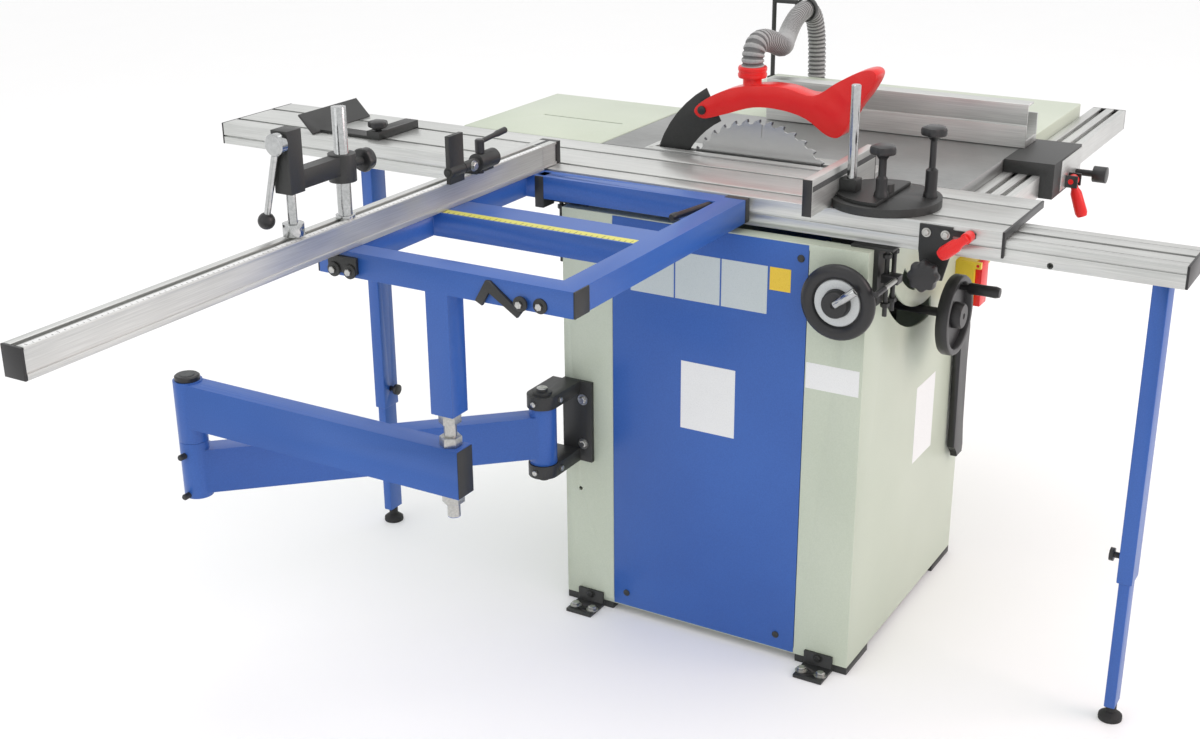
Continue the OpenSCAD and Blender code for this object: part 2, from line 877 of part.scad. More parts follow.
// Edging shoe: a clamp foot with a bar under its knob and a slanted stop plate
shoe_x = slide_x[0] + slide_slot_x[0];
shoe_y = [736, 900];
shoe_w = 36;
shoe_t = 6;
shoe_bar_w = 30;
shoe_bar_l = 108;
shoe_bar_h = 16;
shoe_plate_x = [-41, 138];
shoe_plate_l = 48;
shoe_plate_t = 4;
shoe_plate_in = 18;
shoe_plate_deg = 45;
shoe_knob_r = 20;
shoe_knob_h = 14;
shoe_stem_r = 6;
shoe_stem_h = 20;
shoe_knob_in = 15;

module edging_shoe() {
    color(black) {
        difference() {
            union() {
                box(mid(shoe_x, shoe_w), shoe_y, from(table_z, shoe_t));
                box([shoe_x - shoe_w / 2, shoe_x + shoe_bar_l], from(shoe_y[0], shoe_bar_w),
                    from(table_z, shoe_bar_h));
            }
            rod_z(shoe_x, shoe_y[0] + shoe_knob_in, shoe_stem_r + run_gap, past(from(table_z, shoe_bar_h)));
        }
        translate([shoe_x, shoe_y[1] - shoe_plate_in, table_z])
            rotate([shoe_plate_deg, 0, 0])
                box(shoe_plate_x, [0, shoe_plate_l], [0, shoe_plate_t]);
    }
}

knob_shares = [0.7, 0.3];

module round_knob(r, h) {
    a = r * knob_shares[0];
    b = h * knob_shares[1];
    rotate_extrude()
        polygon([[0, 0], [a, 0], [r, b], [r, h - b], [a, h], [0, h]]);
}

module shoe_knob() {
    color(black)
        translate([shoe_x, shoe_y[0] + shoe_knob_in, table_z]) {
            cylinder(r = shoe_stem_r, h = shoe_stem_h);
            translate([0, 0, shoe_stem_h])
                round_knob(shoe_knob_r, shoe_knob_h);
        }
}

// Tilting cradle: two trunnion plates on the tilt axis, joined by a beam that carries
// two guide columns for the arbor housing and the bearing of the height shaft
ring_r = [95, 125];
ring_deg = [-118, -22];
column_r = 12;
column_x = 60;
column_y = [-120, 205];
beam_x = [44, 76];
beam_z = [545, 570];
hang_x = [40, 80];
boss_x = [-14, 80];
boss_z = [576, 626];
column_top = 798;
raise_shaft_r = 8;

module trunnion(y) {
    along_y(from(y, cradle_t)) {
        translate([blade_x, table_z])
            difference() {
                circle(r = ring_r[1]);
                circle(r = ring_r[0]);
                for (d = [[ring_deg[0] - 180, ring_deg[0]], [ring_deg[1], ring_deg[1] + 180]])
                    rotate(d[0])
                        translate([0, 0])
                            rect([-2 * ring_r[1], 2 * ring_r[1]], [0, 2 * ring_r[1]]);
            }
        rect(hang_x, [beam_z[0], table_z - ring_r[0]]);
        rect(boss_x, boss_z);
    }
}

module tilt_cradle() {
    color(iron)
        difference() {
            union() {
                for (y = cradle_y)
                    trunnion(y);
                box(beam_x, [cradle_y[0], cradle_y[1] + cradle_t], beam_z);
                for (y = column_y)
                    rod_z(column_x, y, column_r, [beam_z[0], column_top]);
            }
            rod_y(raise_shaft_x, raise_shaft_z, raise_shaft_r + run_gap, past(from(cradle_y[0], cradle_t)));
        }
}

// Handwheels: a rim of round section, a dished web, a hub and a shaft
wheel_gap = 24;
hub_r = 22;
hub_l = 30;
web_t = 7;
handle_r = 8;
handle_l = 62;
handle_at_share = 0.78;
tilt_shaft_end = -176;
raise_wheel_out = 57;
handle_deg = 40;
grip_deg = 60;
crank_r = 7;
crank_l = 44;

// A handwheel standing on z = 0 with its face up
module handwheel() {
    r = wheel_d / 2 - rim_r;
    rotate_extrude()
        translate([r, rim_r])
            circle(r = rim_r);
    translate([0, 0, rim_r - web_t / 2])
        cylinder(r = r, h = web_t);
    cylinder(r = hub_r, h = hub_l);
}

module tilt_wheel() {
    color(black) {
        translate([-cab_x - wheel_gap, tilt_shaft_y, tilt_shaft_z])
            rotate([0, -90, 0])
                handwheel();
        rod_x(tilt_shaft_y, tilt_shaft_z, tilt_shaft_r, [-cab_x - wheel_gap, tilt_shaft_end]);
    }
}

// Folding crank of the tilt wheel, lying across its face
module tilt_handle() {
    color(steel)
        translate([-cab_x - wheel_gap - hub_l - crank_r - pass_gap, tilt_shaft_y, tilt_shaft_z])
            rotate([-handle_deg, 0, 0])
                rod_y(0, 0, crank_r, [-crank_l - crank_r, -crank_r]);
}

module raise_wheel() {
    handle_at = handle_at_share * wheel_d / 2;
    color(black) {
        translate([raise_shaft_x, -cab_y - raise_wheel_out + rim_r, raise_shaft_z])
            rotate([90, 0, 0])
                handwheel();
        rod_y(raise_shaft_x, raise_shaft_z, raise_shaft_r,
              [-cab_y - raise_wheel_out + rim_r - hub_l / 2, cradle_y[0] + cradle_t]);
        translate([raise_shaft_x + handle_at * cos(grip_deg), 0, raise_shaft_z + handle_at * sin(grip_deg)])
            rod_y(0, 0, handle_r, from(-cab_y - raise_wheel_out - rim_r - handle_l, handle_l + rim_r));
    }
}

// Arbor housing: bearing tube on a cross bar that slides on the two columns
housing_r = 32;
housing_x = [28, 82];
cross_x = [42, 78];
cross_drop = [22, 58];
cross_y = [-144, 229];
knife_arm_y = [206, 229];
motor_x = [112, 258];
motor_y = 150;
motor_drop = 187;
motor_z = arbor_z - motor_drop;
mount_t = 6;
mount_x = [106, 112];
column_boss_r = 18;
knife_t = 2.5;

module arbor_housing() {
    color(iron)
        difference() {
            union() {
                rod_x(blade_y, arbor_z, housing_r, housing_x);
                box(cross_x, cross_y, [arbor_z - cross_drop[1], arbor_z - cross_drop[0]]);
                box([blade_x + knife_t / 2, cross_x[0]], knife_arm_y,
                    [arbor_z - cross_drop[1], arbor_z - cross_drop[0]]);
                box([cross_x[1], mount_x[1]], mid(motor_y, 2 * column_boss_r),
                    [arbor_z - cross_drop[1], arbor_z - cross_drop[0]]);
                box(mount_x, mid(motor_y, 2 * motor_r), [motor_z - motor_r, arbor_z - cross_drop[0]]);
            }
            rod_x(blade_y, arbor_z, arbor_r + run_gap, past(housing_x));
            rod_x(motor_y, motor_z, motor_hub_r, past(mount_x));
            for (y = column_y)
                rod_z(column_x, y, column_r + run_gap,
                      past([arbor_z - cross_drop[1], arbor_z - cross_drop[0]]));
        }
}

// Motor with cooling fins, its pulley, and the belt up to the arbor
motor_hub_r = 20;
motor_shaft_r = 12;
fin_deep = 5;
fin_step = 14;
fin_w = 6;
pulley_x = [85, 103];
arbor_pulley_r = 34;
motor_pulley_r = 46;
belt_t = 5;
belt_gap = 0.3;

module motor() {
    color(steel)
        difference() {
            rod_x(motor_y, motor_z, motor_r, motor_x);
            for (x = [motor_x[0] + fin_step : fin_step : motor_x[1] - 2 * fin_step])
                difference() {
                    rod_x(motor_y, motor_z, motor_r + over, from(x, fin_w));
                    rod_x(motor_y, motor_z, motor_r - fin_deep, past(from(x, fin_w)));
                }
            rod_x(motor_y, motor_z, motor_shaft_r + run_gap, [motor_x[0] - over, motor_x[0] + motor_hub_r]);
        }
}

module motor_pulley() {
    color(iron) {
        rod_x(motor_y, motor_z, motor_pulley_r, pulley_x);
        rod_x(motor_y, motor_z, motor_shaft_r, [pulley_x[1], motor_x[0] + motor_hub_r - over]);
    }
}

// Outline of a belt round two pulleys, with straight runs on their common tangents
module belt_outline(a, ra, b, rb) {
    run = b - a;
    lean = asin((ra - rb) / norm(run));
    side = atan2(run[1], run[0]);
    up_deg = side + 90 - lean;
    low_deg = side - 90 + lean;
    translate(a)
        circle(r = ra);
    translate(b)
        circle(r = rb);
    polygon([
        a + ra * [cos(up_deg), sin(up_deg)],
        b + rb * [cos(up_deg), sin(up_deg)],
        b + rb * [cos(low_deg), sin(low_deg)],
        a + ra * [cos(low_deg), sin(low_deg)]
    ]);
}

module drive_belt() {
    a = [blade_y, arbor_z];
    b = [motor_y, motor_z];
    ra = arbor_pulley_r + belt_gap;
    rb = motor_pulley_r + belt_gap;
    color(black)
        along_x(pulley_x)
            difference() {
                belt_outline(a, ra + belt_t, b, rb + belt_t);
                belt_outline(a, ra, b, rb);
            }
}

// Arbor with its inner flange, outer flange, nut and pulley
flange_r = 36;
flange_t = 6;
arbor_nut_r = 16;
arbor_nut_l = 10;
blade_faces = mid(blade_x, kerf);

module arbor_shaft() {
    color(steel) {
        rod_x(blade_y, arbor_z, arbor_r, [blade_faces[0] - flange_t, pulley_x[1]]);
        rod_x(blade_y, arbor_z, flange_r, from(blade_faces[1], flange_t));
        rod_x(blade_y, arbor_z, flange_r, from(blade_faces[0] - flange_t, flange_t));
        translate([blade_faces[0] - flange_t - arbor_nut_l, blade_y, arbor_z])
            rotate([0, 90, 0])
                cylinder(r = arbor_nut_r, h = arbor_nut_l, $fn = 6);
        rod_x(blade_y, arbor_z, arbor_pulley_r, pulley_x);
    }
}

// Saw blade: hooked teeth with round gullets cut into the disc, and expansion slots
gullet_share = 0.058;
tooth_shares = [0, 0.12, 0.42, 0.62, 0.9];
tooth_depths = [0, 1, 1, 0.45, 0.1];
slots = 4;
slot_w = 2;
slot_l = 24;

module saw_blade() {
    step = 360 / teeth;
    color(steel)
        along_x(blade_faces)
            translate([blade_y, arbor_z])
                difference() {
                    polygon([
                        for (i = [0 : teeth - 1], k = [0 : len(tooth_shares) - 1])
                            let (r = blade_r * (1 - gullet_share * tooth_depths[k]),
                                 a = step * (i + tooth_shares[k]))
                            [r * cos(a), r * sin(a)]
                    ]);
                    circle(r = arbor_r + run_gap);
                    for (i = [0 : slots - 1])
                        rotate(i * 360 / slots + step / 4)
                            rect([blade_r * (1 - gullet_share) - slot_l, blade_r], mid(0, slot_w));
                }
}

// Riving knife: a crescent plate behind the blade, drawn round the arbor's centre.
// Each point is a distance from the blade's rim and an angle from straight back.
knife_inner_gap = 8;
knife_w = 50;
knife_grow = 16;
knife_back = 247;
knife_low_deg = -16;
knife_high_deg = 62;
knife_steps = 12;
guard_pin_r = 4;
guard_pin_y = 150;
guard_pin_up = 80;

module riving_knife() {
    ri = blade_r + knife_inner_gap;
    color(black)
        along_x(mid(blade_x, knife_t))
            translate([blade_y, arbor_z])
                difference() {
                    polygon(concat(
                        [for (i = [0 : knife_steps])
                            let (a = knife_low_deg + i * (knife_high_deg - knife_low_deg) / knife_steps)
                            ri * [cos(a), sin(a)]],
                        [for (i = [knife_steps : -1 : 0])
                            let (a = knife_low_deg + i * (knife_high_deg - knife_low_deg) / knife_steps)
                            (ri + knife_w + knife_grow * i / knife_steps) * [cos(a), sin(a)]]
                    ));
                    translate([guard_pin_y - blade_y, table_z + guard_pin_up - arbor_z])
                        circle(r = guard_pin_r + run_gap);
                    rect(from(knife_back - blade_y, blade_r), mid(0, 2 * blade_r));
                }
}

// Blade guard: a moulded hood with a front horn, hollow from below, with the spigot
// of the extraction hose on its back and a pin through the knife. Outline points are
// heights above the table and distances from the cabinet's middle.
guard_w = 42;
guard_wall = 7;
guard_roof = 9;
guard_outline = [
    [166, 79], [141, 102], [95, 124], [40, 135], [-14, 136], [-67, 127], [-109, 153], [-146, 174],
    [-172, 181], [-182, 170], [-168, 140], [-145, 106], [-123, 62], [-96, 60], [-55, 85], [-6, 96],
    [48, 95], [107, 76], [149, 65]
];
guard_steps = 4;
cuff_y = 60;
cuff_r = 25;
cuff_low = 128;
cuff_top = 165;
cuff_band = 20;
hood_cut = [-100, 172];
hood_slot_y = 115;

module guard_profile() {
    translate([0, table_z])
        polygon(closed_spline(guard_outline, guard_steps));
}

module blade_guard() {
    color(red)
        difference() {
            union() {
                along_x(mid(blade_x, guard_w))
                    guard_profile();
                rod_z(blade_x, cuff_y, spigot_r, [table_z + cuff_low, table_z + cuff_top]);
                rod_z(blade_x, cuff_y, cuff_r, [table_z + cuff_top - cuff_band, table_z + cuff_top]);
            }
            difference() {
                along_x(mid(blade_x, guard_w - 2 * guard_wall))
                    difference() {
                        translate([0, -guard_roof])
                            guard_profile();
                        rect([guard_outline[8][0] - guard_w, hood_cut[0]], [0, 2 * table_z]);
                    }
                rod_x(guard_pin_y, table_z + guard_pin_up, guard_pin_r, mid(blade_x, guard_w));
            }
            along_x(mid(blade_x, guard_w - 2 * guard_wall))
                difference() {
                    rect(hood_cut, [table_z, table_z + cuff_low - guard_w]);
                    translate([guard_pin_y, table_z + guard_pin_up])
                        circle(r = guard_pin_r);
                }
            along_x(mid(blade_x, guard_w - 2 * guard_wall))
                difference() {
                    rect([hood_slot_y, hood_cut[1]], [table_z, table_z + cuff_top]);
                    translate([guard_pin_y, table_z + guard_pin_up])
                        circle(r = guard_pin_r);
                }
            rod_z(blade_x, cuff_y, spigot_r - spigot_t, [table_z + blade_up, table_z + cuff_top + over]);
        }
}

// Rip fence: a carrier that straddles the front rail, the hollow fence on it,
// a red clamp lever and a fine adjuster
carrier_w = 180;
carrier_out = 25;
carrier_lead = 95;
carrier_top = 1;
rip_lead = 10;
rip_t = 4;
rip_foot = 14;
carrier_x = from(rip_x - carrier_lead, carrier_w);
carrier_y = [front_rail_y[0] - carrier_out, front_rail_y[1] - over];
carrier_z = [front_rail_z[0], table_z + carrier_top];
rip_slot_share = 0.52;
rip_lever_r = 7;
rip_lever_l = 70;
rip_lever_x = 304;
rip_lever_z = 789;
rip_lever_deg = 20;
rip_boss_r = 11;
rip_boss_w = 16;
rip_boss_gap = 12;
rip_knob_x = 365;
rip_knob_z = 790;
rip_knob_r = 15;
rip_knob_l = 24;
rip_stem_r = 6;
rip_stem_l = 34;
rip_stem_in = 15;

module rip_carrier() {
    color(black)
        difference() {
            union() {
                box(carrier_x, carrier_y, [front_rail_z[1] + pass_gap, carrier_z[1]]);
                box(carrier_x, [carrier_y[0], front_rail_y[0] - pass_gap], carrier_z);
                for (s = [-1, 1])
                    box(mid(rip_lever_x + s * (rip_boss_w / 2 + lock_t), lock_t),
                        [carrier_y[0] - 2 * rip_boss_gap, carrier_y[0]], mid(rip_lever_z, 2 * rip_boss_r));
            }
            rod_y(rip_knob_x, rip_knob_z, rip_stem_r + run_gap,
                  [carrier_y[0] - over, carrier_y[0] + rip_stem_in]);
            rod_x(carrier_y[0] - rip_boss_gap, rip_lever_z, lock_screw_r + run_gap,
                  mid(rip_lever_x, 2 * rip_boss_w + 2 * lock_t));
        }
}

module rip_fence() {
    x = from(rip_x, rip_w);
    y = from(main_y[0] - rip_lead, rip_l);
    z = from(carrier_z[1] + pass_gap, rip_h);
    color(alloy)
        along_y(y)
            difference() {
                rect(x, z);
                rect([x[0] + rip_t, x[1] - rip_t], [z[0] + rip_foot, z[1] - rip_t]);
                rect([x[0] - over, x[0] + rip_t / 2], mid(z[0] + rip_slot_share * rip_h, rip_t));
                rect([x[1] - rip_w / 2, x[1] + over], [z[1] - rip_h / 3, z[1] + over]);
            }
}

module rip_lever() {
    y = carrier_y[0] - rip_boss_gap;
    color(red) {
        rod_x(y, rip_lever_z, rip_boss_r - over, mid(rip_lever_x, rip_boss_w - 2 * pass_gap));
        rod_x(y, rip_lever_z, lock_screw_r, mid(rip_lever_x, rip_boss_w + 3 * lock_t));
        translate([rip_lever_x, y, rip_lever_z])
            rotate([-rip_lever_deg, 0, 0])
                rod_z(0, 0, rip_lever_r, [-rip_lever_l, 0]);
    }
}

module rip_knob() {
    color(black) {
        rod_y(rip_knob_x, rip_knob_z, rip_stem_r,
              [carrier_y[0] - rip_stem_l, carrier_y[0] + rip_stem_in - over]);
        rod_y(rip_knob_x, rip_knob_z, rip_knob_r,
              [carrier_y[0] - rip_stem_l - rip_knob_l, carrier_y[0] - rip_stem_l]);
    }
}

// Mitre gauge: a round base in the table's slot, a swivel head with a short fence and
// a post, and two knobs
mitre_x = -165;
mitre_y = -271;
mitre_r = 92;
mitre_h = 14;
mitre_hub_r = 14;
mitre_hub_h = 20;
head_t = 6;
head_r = 80;
mitre_fence_l = 270;
mitre_fence_x = -307;
mitre_fence_w = 16;
mitre_fence_at = 69;
mitre_fence_up = 2;
mitre_fence_h = 60;
mitre_fence_t = 3;
mitre_post_x = -20;
mitre_post_y = 52;
mitre_post_r = 8;
mitre_post_top = 194;
mitre_block = 26;
lock_at = [-34, -5];
lock_top_z = 105;
clamp_at = [26, -67];
clamp_top_z = 130;
mitre_stem_r = 9;
mitre_knob_r = 22;
mitre_knob_h = 16;
mitre_screw_r = 5;
base_z = [table_z, table_z + mitre_h];
head_z = from(base_z[1] + pass_gap, head_t);

module mitre_base() {
    color(black)
        translate([mitre_x, mitre_y, 0])
            difference() {
                union() {
                    rod_z(0, 0, mitre_r, base_z);
                    rod_z(0, 0, mitre_hub_r, [base_z[1], base_z[1] + mitre_hub_h]);
                }
                rod_z(clamp_at[0], clamp_at[1], mitre_screw_r + run_gap, past(base_z));
            }
}

module mitre_fence() {
    y = from(mitre_fence_at, mitre_fence_w);
    z = from(table_z + mitre_fence_up, mitre_fence_h);
    x = from(mitre_fence_x - mitre_x, mitre_fence_l);
    color(alloy)
        translate([mitre_x, mitre_y, 0])
            difference() {
                union() {
                    along_x(x)
                        difference() {
                            rect(y, z);
                            rect([y[0] + mitre_fence_t, y[1] - mitre_fence_t],
                                 [z[0] + mitre_fence_t, z[1] - mitre_fence_t]);
                        }
                    along_z(head_z)
                        difference() {
                            circle(r = head_r);
                            rect(mid(0, 3 * head_r), [-2 * head_r, -mitre_hub_r]);
                        }
                    box(mid(mitre_post_x, mitre_block), [mitre_post_y - mitre_block / 2, y[0] + mitre_fence_t],
                        [head_z[0], head_z[0] + mitre_block]);
                    rod_z(mitre_post_x, mitre_post_y, mitre_post_r, [head_z[1], table_z + mitre_post_top]);
                }
                rod_z(0, 0, mitre_r + pass_gap, [table_z, head_z[0]]);
                rod_z(0, 0, mitre_hub_r + run_gap, past(head_z));
                rod_z(lock_at[0], lock_at[1], mitre_screw_r + run_gap, past(head_z));
            }
}

module mitre_knob(at, z0, z1, foot) {
    translate([mitre_x + at[0], mitre_y + at[1], 0]) {
        rod_z(0, 0, mitre_screw_r, [foot, z0]);
        rod_z(0, 0, mitre_stem_r, [z0, z1 - mitre_knob_h]);
        translate([0, 0, z1 - mitre_knob_h])
            round_knob(mitre_knob_r, mitre_knob_h);
    }
}

module mitre_lock_knob() {
    color(black)
        mitre_knob(lock_at, head_z[1], table_z + lock_top_z, head_z[0]);
}

module mitre_clamp_knob() {
    color(black)
        mitre_knob(clamp_at, base_z[1], table_z + clamp_top_z, base_z[0]);
}

// Crosscut fence: hollow extrusion with a slot in its top and a lower lip, on a pivot
fence_gap = 0.3;
fence_t = 4;
fence_lip = 4;
fence_dish = 2;
fence_end = 9;
fence_x = [slide_x[0] - fence_end - fence_l, slide_x[0] - fence_end];
fence_y = from(fence_at, fence_w);
fence_z = from(frame_z[1] + fence_gap, fence_h);
fence_mid = (fence_y[0] + fence_y[1]) / 2;

module crosscut_fence() {
    color(alloy) {
        along_x(fence_x)
            difference() {
                rect(fence_y, fence_z);
                rect([fence_y[0] - over, fence_y[0] + fence_dish],
                     [fence_z[0] + 2 * fence_lip, fence_z[1] - fence_lip]);
                rect([fence_y[0] + fence_t, fence_y[1] - fence_t],
                     [fence_z[0] + fence_t, fence_z[1] - rail_slot_drop - fence_t]);
                translate([fence_mid, fence_z[1]])
                    t_slot(rail_slot, rail_slot_neck, rail_slot_foot, rail_slot_drop);
            }
        rod_z(pivot_x, pivot_y, pivot_r, [frame_z[0], fence_z[0] + fence_t]);
    }
}

// Flip stop: a barrel that slides on the fence, a stop plate on its pin and a clamp lever
block_x = [-466, -415];
block_r = 15;
block_t = 10;
stop_neck = 38;
stop_pin_r = 5;
stop_pin_out = 8;
stop_pin_up = 20;
stop_hub_r = 9;
stop_w = 40;
stop_l = 60;
stop_tail = 19;
stop_t = 8;
stop_gap = 1;
stop_lever_r = 6;
stop_lever_in = 12;
stop_arm_r = 5;
stop_lever_l = 78;
stop_lever_deg = 4;
stop_boss_r = 8;
stop_boss_h = 22;
block_z = from(fence_z[1] + fence_gap, stop_pin_up + block_r);
stop_pin_y = fence_y[0] - stop_pin_out;
stop_pin_z = block_z[0] + stop_pin_up;
stop_x = [block_x[0] - stop_neck - stop_gap - stop_w, block_x[0] - stop_neck - stop_gap];
stop_lever_x = block_x[0] + stop_lever_in;

module stop_block() {
    color(black)
        difference() {
            union() {
                box(block_x, [stop_pin_y, fence_y[1]], from(block_z[0], block_t));
                rod_x(stop_pin_y, stop_pin_z, block_r, block_x);
                rod_x(stop_pin_y, stop_pin_z, stop_hub_r, [block_x[0] - stop_neck, block_x[0]]);
                rod_x(stop_pin_y, stop_pin_z, stop_pin_r, [stop_x[0] - stop_gap, block_x[0]]);
            }
            rod_z(stop_lever_x, stop_pin_y, stop_lever_r + run_gap, past(block_z));
        }
}

module flip_stop() {
    color(black)
        difference() {
            union() {
                box(stop_x, mid(stop_pin_y, stop_t), [stop_pin_z - stop_tail, stop_pin_z + stop_l]);
                rod_x(stop_pin_y, stop_pin_z, stop_hub_r, stop_x);
            }
            rod_x(stop_pin_y, stop_pin_z, stop_pin_r + run_gap, past(stop_x));
        }
}

module stop_lever() {
    color(black)
        translate([stop_lever_x, stop_pin_y, block_z[1] + pass_gap]) {
            rod_z(0, 0, stop_lever_r, [block_z[0] - block_z[1], 0]);
            rod_z(0, 0, stop_boss_r, [0, stop_boss_h]);
            translate([0, 0, stop_boss_h - stop_arm_r])
                rotate([0, 90 - stop_lever_deg, 0])
                    rod_z(0, 0, stop_arm_r, [0, stop_lever_l]);
        }
}

// Hold-down clamp: a post on the fence, an arm that slides on it, and a spindle
// driven by an eccentric lever with a ball end
clamp_x = -775;
clamp_r = 11;
clamp_top = 170;
clamp_foot_r = 15;
clamp_foot_h = 6;
collar_r = 21;
collar_from = 58;
collar_h = 42;
arm_reach = 118;
cast_w = 22;
cast_z = [70, 98];
head_w = 30;
head_from = 68;
head_h = 92;
spindle_r = 7;
spindle_foot_r = 16;
spindle_foot_h = 18;
spindle_low = 4;
spindle_rise = 40;
eccentric_z = 142;
eccentric_r = 9;
eccentric_l = 12;
ball_r = 13;
clamp_lever_r = 5;
clamp_lever_l = 120;
clamp_lever_deg = 15;
star_r = 17;
star_l = 16;
star_stem = 24;
star_stem_r = 7;
head_x = clamp_x - arm_reach;

module clamp_post() {
    color(steel) {
        rod_z(clamp_x, fence_mid, clamp_r, [fence_z[1], fence_z[1] + clamp_top]);
        rod_z(clamp_x, fence_mid, clamp_foot_r, from(fence_z[1], clamp_foot_h));
    }
}

module clamp_arm() {
    collar_z = from(fence_z[1] + collar_from, collar_h);
    color(black)
        difference() {
            union() {
                rod_z(clamp_x, fence_mid, collar_r, collar_z);
                box([head_x, clamp_x], mid(fence_mid, cast_w), [fence_z[1] + cast_z[0], fence_z[1] + cast_z[1]]);
                box(mid(head_x, head_w), mid(fence_mid, head_w), from(fence_z[1] + head_from, head_h));
                rod_x(fence_mid, (collar_z[0] + collar_z[1]) / 2, star_stem_r,
                      [clamp_x, clamp_x + collar_r + star_stem]);
                rod_x(fence_mid, (collar_z[0] + collar_z[1]) / 2, star_r,
                      from(clamp_x + collar_r + star_stem, star_l));
            }
            rod_z(clamp_x, fence_mid, clamp_r + run_gap, past(collar_z));
            rod_z(head_x, fence_mid, spindle_r + run_gap, from(fence_z[1] + head_from - over, head_h / 2));
            rod_x(fence_mid, fence_z[1] + eccentric_z, eccentric_r + run_gap, mid(head_x, 2 * head_w));
        }
}

module clamp_spindle() {
    color(steel) {
        rod_z(head_x, fence_mid, spindle_r,
              [fence_z[1] + spindle_low, fence_z[1] + head_from + spindle_rise / 2]);
        rod_z(head_x, fence_mid, spindle_foot_r, from(fence_z[1] + spindle_low, spindle_foot_h));
    }
}

module clamp_lever() {
    x = head_x - head_w / 2;
    z = fence_z[1] + eccentric_z;
    color(steel) {
        rod_x(fence_mid, z, eccentric_r, [x - eccentric_l, head_x + head_w / 2]);
        translate([x - eccentric_l / 2 - pass_gap, fence_mid, z])
            rotate([180 + clamp_lever_deg, 0, 0]) {
                rod_z(0, 0, clamp_lever_r, [0, clamp_lever_l]);
                translate([0, 0, clamp_lever_l])
                    sphere(r = ball_r);
            }
    }
}

// Switch: a box on the cabinet's front with a hinged stop flap
switch_x = [178, 232];
switch_out = 36;
switch_z = [560, 646];
flap_t = 12;
flap_in = 3;
flap_pin_r = 3;
flap_lug = 8;
button_r = 9;
button_up = 4;
button_in = 5;
button_deep = 10;
button_zs = [18, 52];
switch_mid = (switch_x[0] + switch_x[1]) / 2;
switch_face = -cab_y - switch_out;
flap_pin_y = switch_face - flap_t / 2;

module switch_box() {
    color([0.92, 0.78, 0.10])
        difference() {
            union() {
                box(switch_x, [switch_face, -cab_y], switch_z);
                for (x = [[switch_x[0], switch_x[0] + flap_lug], [switch_x[1] - flap_lug, switch_x[1]]])
                    box(x, [switch_face - flap_t, switch_face], [switch_z[1] - flap_t, switch_z[1]]);
            }
            for (z = button_zs)
                rod_y(switch_mid, switch_z[0] + z, button_r + run_gap,
                      [switch_face - over, switch_face + button_deep]);
            rod_x(flap_pin_y, switch_z[1] - flap_t / 2, flap_pin_r + run_gap, past(switch_x));
        }
}

module start_button() {
    color([0.10, 0.55, 0.20])
        rod_y(switch_mid, switch_z[0] + button_zs[1], button_r,
              [switch_face - button_up, switch_face + button_in]);
}

module stop_button() {
    color(red)
        rod_y(switch_mid, switch_z[0] + button_zs[0], button_r,
              [switch_face - button_up, switch_face + button_in]);
}

module switch_flap() {
    x = [switch_x[0] + flap_lug + pass_gap, switch_x[1] - flap_lug - pass_gap];
    z = switch_z[1] - flap_t / 2;
    color(red)
        difference() {
            union() {
                rod_x(flap_pin_y, z, flap_t / 2 - pass_gap, x);
                rod_x(flap_pin_y, z, flap_pin_r, switch_x);
                box(x, [switch_face - flap_t, switch_face - pass_gap], [switch_z[0], z]);
            }
            box([x[0] + flap_in, x[1] - flap_in], [switch_face - flap_t + flap_in, switch_face],
                [switch_z[0] + flap_in, z - flap_t]);
        }
}

// Push stick hanging on the peg beside the switch
stick_w = 22;
stick_t = 9;
stick_gap = 5;
stick_drop = 290;
stick_heel = 34;
stick_outline_shares = [
    [-0.5, 0.05], [0.5, 0.05], [0.62, -0.12], [0.5, -0.32], [0.55, -0.8], [0.75, -0.94],
    [0.75, -1], [0.15, -1], [0.1, -0.95], [-0.5, -0.85], [-0.6, -0.4], [-0.62, -0.1]
];

module push_stick() {
    color(black)
        along_y(from(-cab_y - stick_gap - stick_t, stick_t))
            translate([peg_x, peg_z])
                difference() {
                    polygon([for (p = stick_outline_shares) [p[0] * stick_w, p[1] * stick_drop]]);
                    circle(r = peg_r + run_gap);
                }
}

// Hose fittings: the duct behind the cabinet, the spigot on its right side, and a rod
// with a ring that holds the hose up
duct_l = 60;
duct_flange_r = 66;
duct_flange_t = 4;
spigot_l = 60;
spigot_flange_r = 34;
hanger_x = 745;
hanger_y = 352;
hanger_r = 5;
hanger_top = 165;
hanger_block = [26, 14, 28];
ring_y = 275;
ring_z = 985;
ring_wire = 4;
ring_w = 14;

module hose_fittings() {
    color(black) {
        difference() {
            union() {
                rod_y(0, duct_z, duct_r, from(cab_y, duct_l));
                rod_y(0, duct_z, duct_flange_r, from(cab_y, duct_flange_t));
            }
            rod_y(0, duct_z, duct_r - duct_t, past(from(cab_y, duct_l)));
        }
        difference() {
            union() {
                rod_x(spigot_y, spigot_z, spigot_r, from(cab_x, spigot_l));
                rod_x(spigot_y, spigot_z, spigot_flange_r, from(cab_x, duct_flange_t));
                rod_x(spigot_y, spigot_z, cuff_r, [cab_x + spigot_l - cuff_band, cab_x + spigot_l]);
            }
            rod_x(spigot_y, spigot_z, spigot_r - spigot_t, past(from(cab_x, spigot_l)));
        }
        difference() {
            union() {
                box(mid(hanger_x, hanger_block[0]), from(right_y[1], hanger_block[1]),
                    [table_z - hanger_block[2], table_z - tray_t]);
                rod_z(hanger_x, hanger_y, hanger_r, [table_z - hanger_block[2], table_z + hanger_top + hanger_r]);
                rod_y(hanger_x, table_z + hanger_top, hanger_r, [ring_y + hose_d / 2, hanger_y]);
                rod_x(ring_y, ring_z, hose_d / 2 + pass_gap + ring_wire, mid(hanger_x, ring_w));
            }
            rod_x(ring_y, ring_z, hose_d / 2 + pass_gap, past(mid(hanger_x, ring_w)));
        }
    }
}

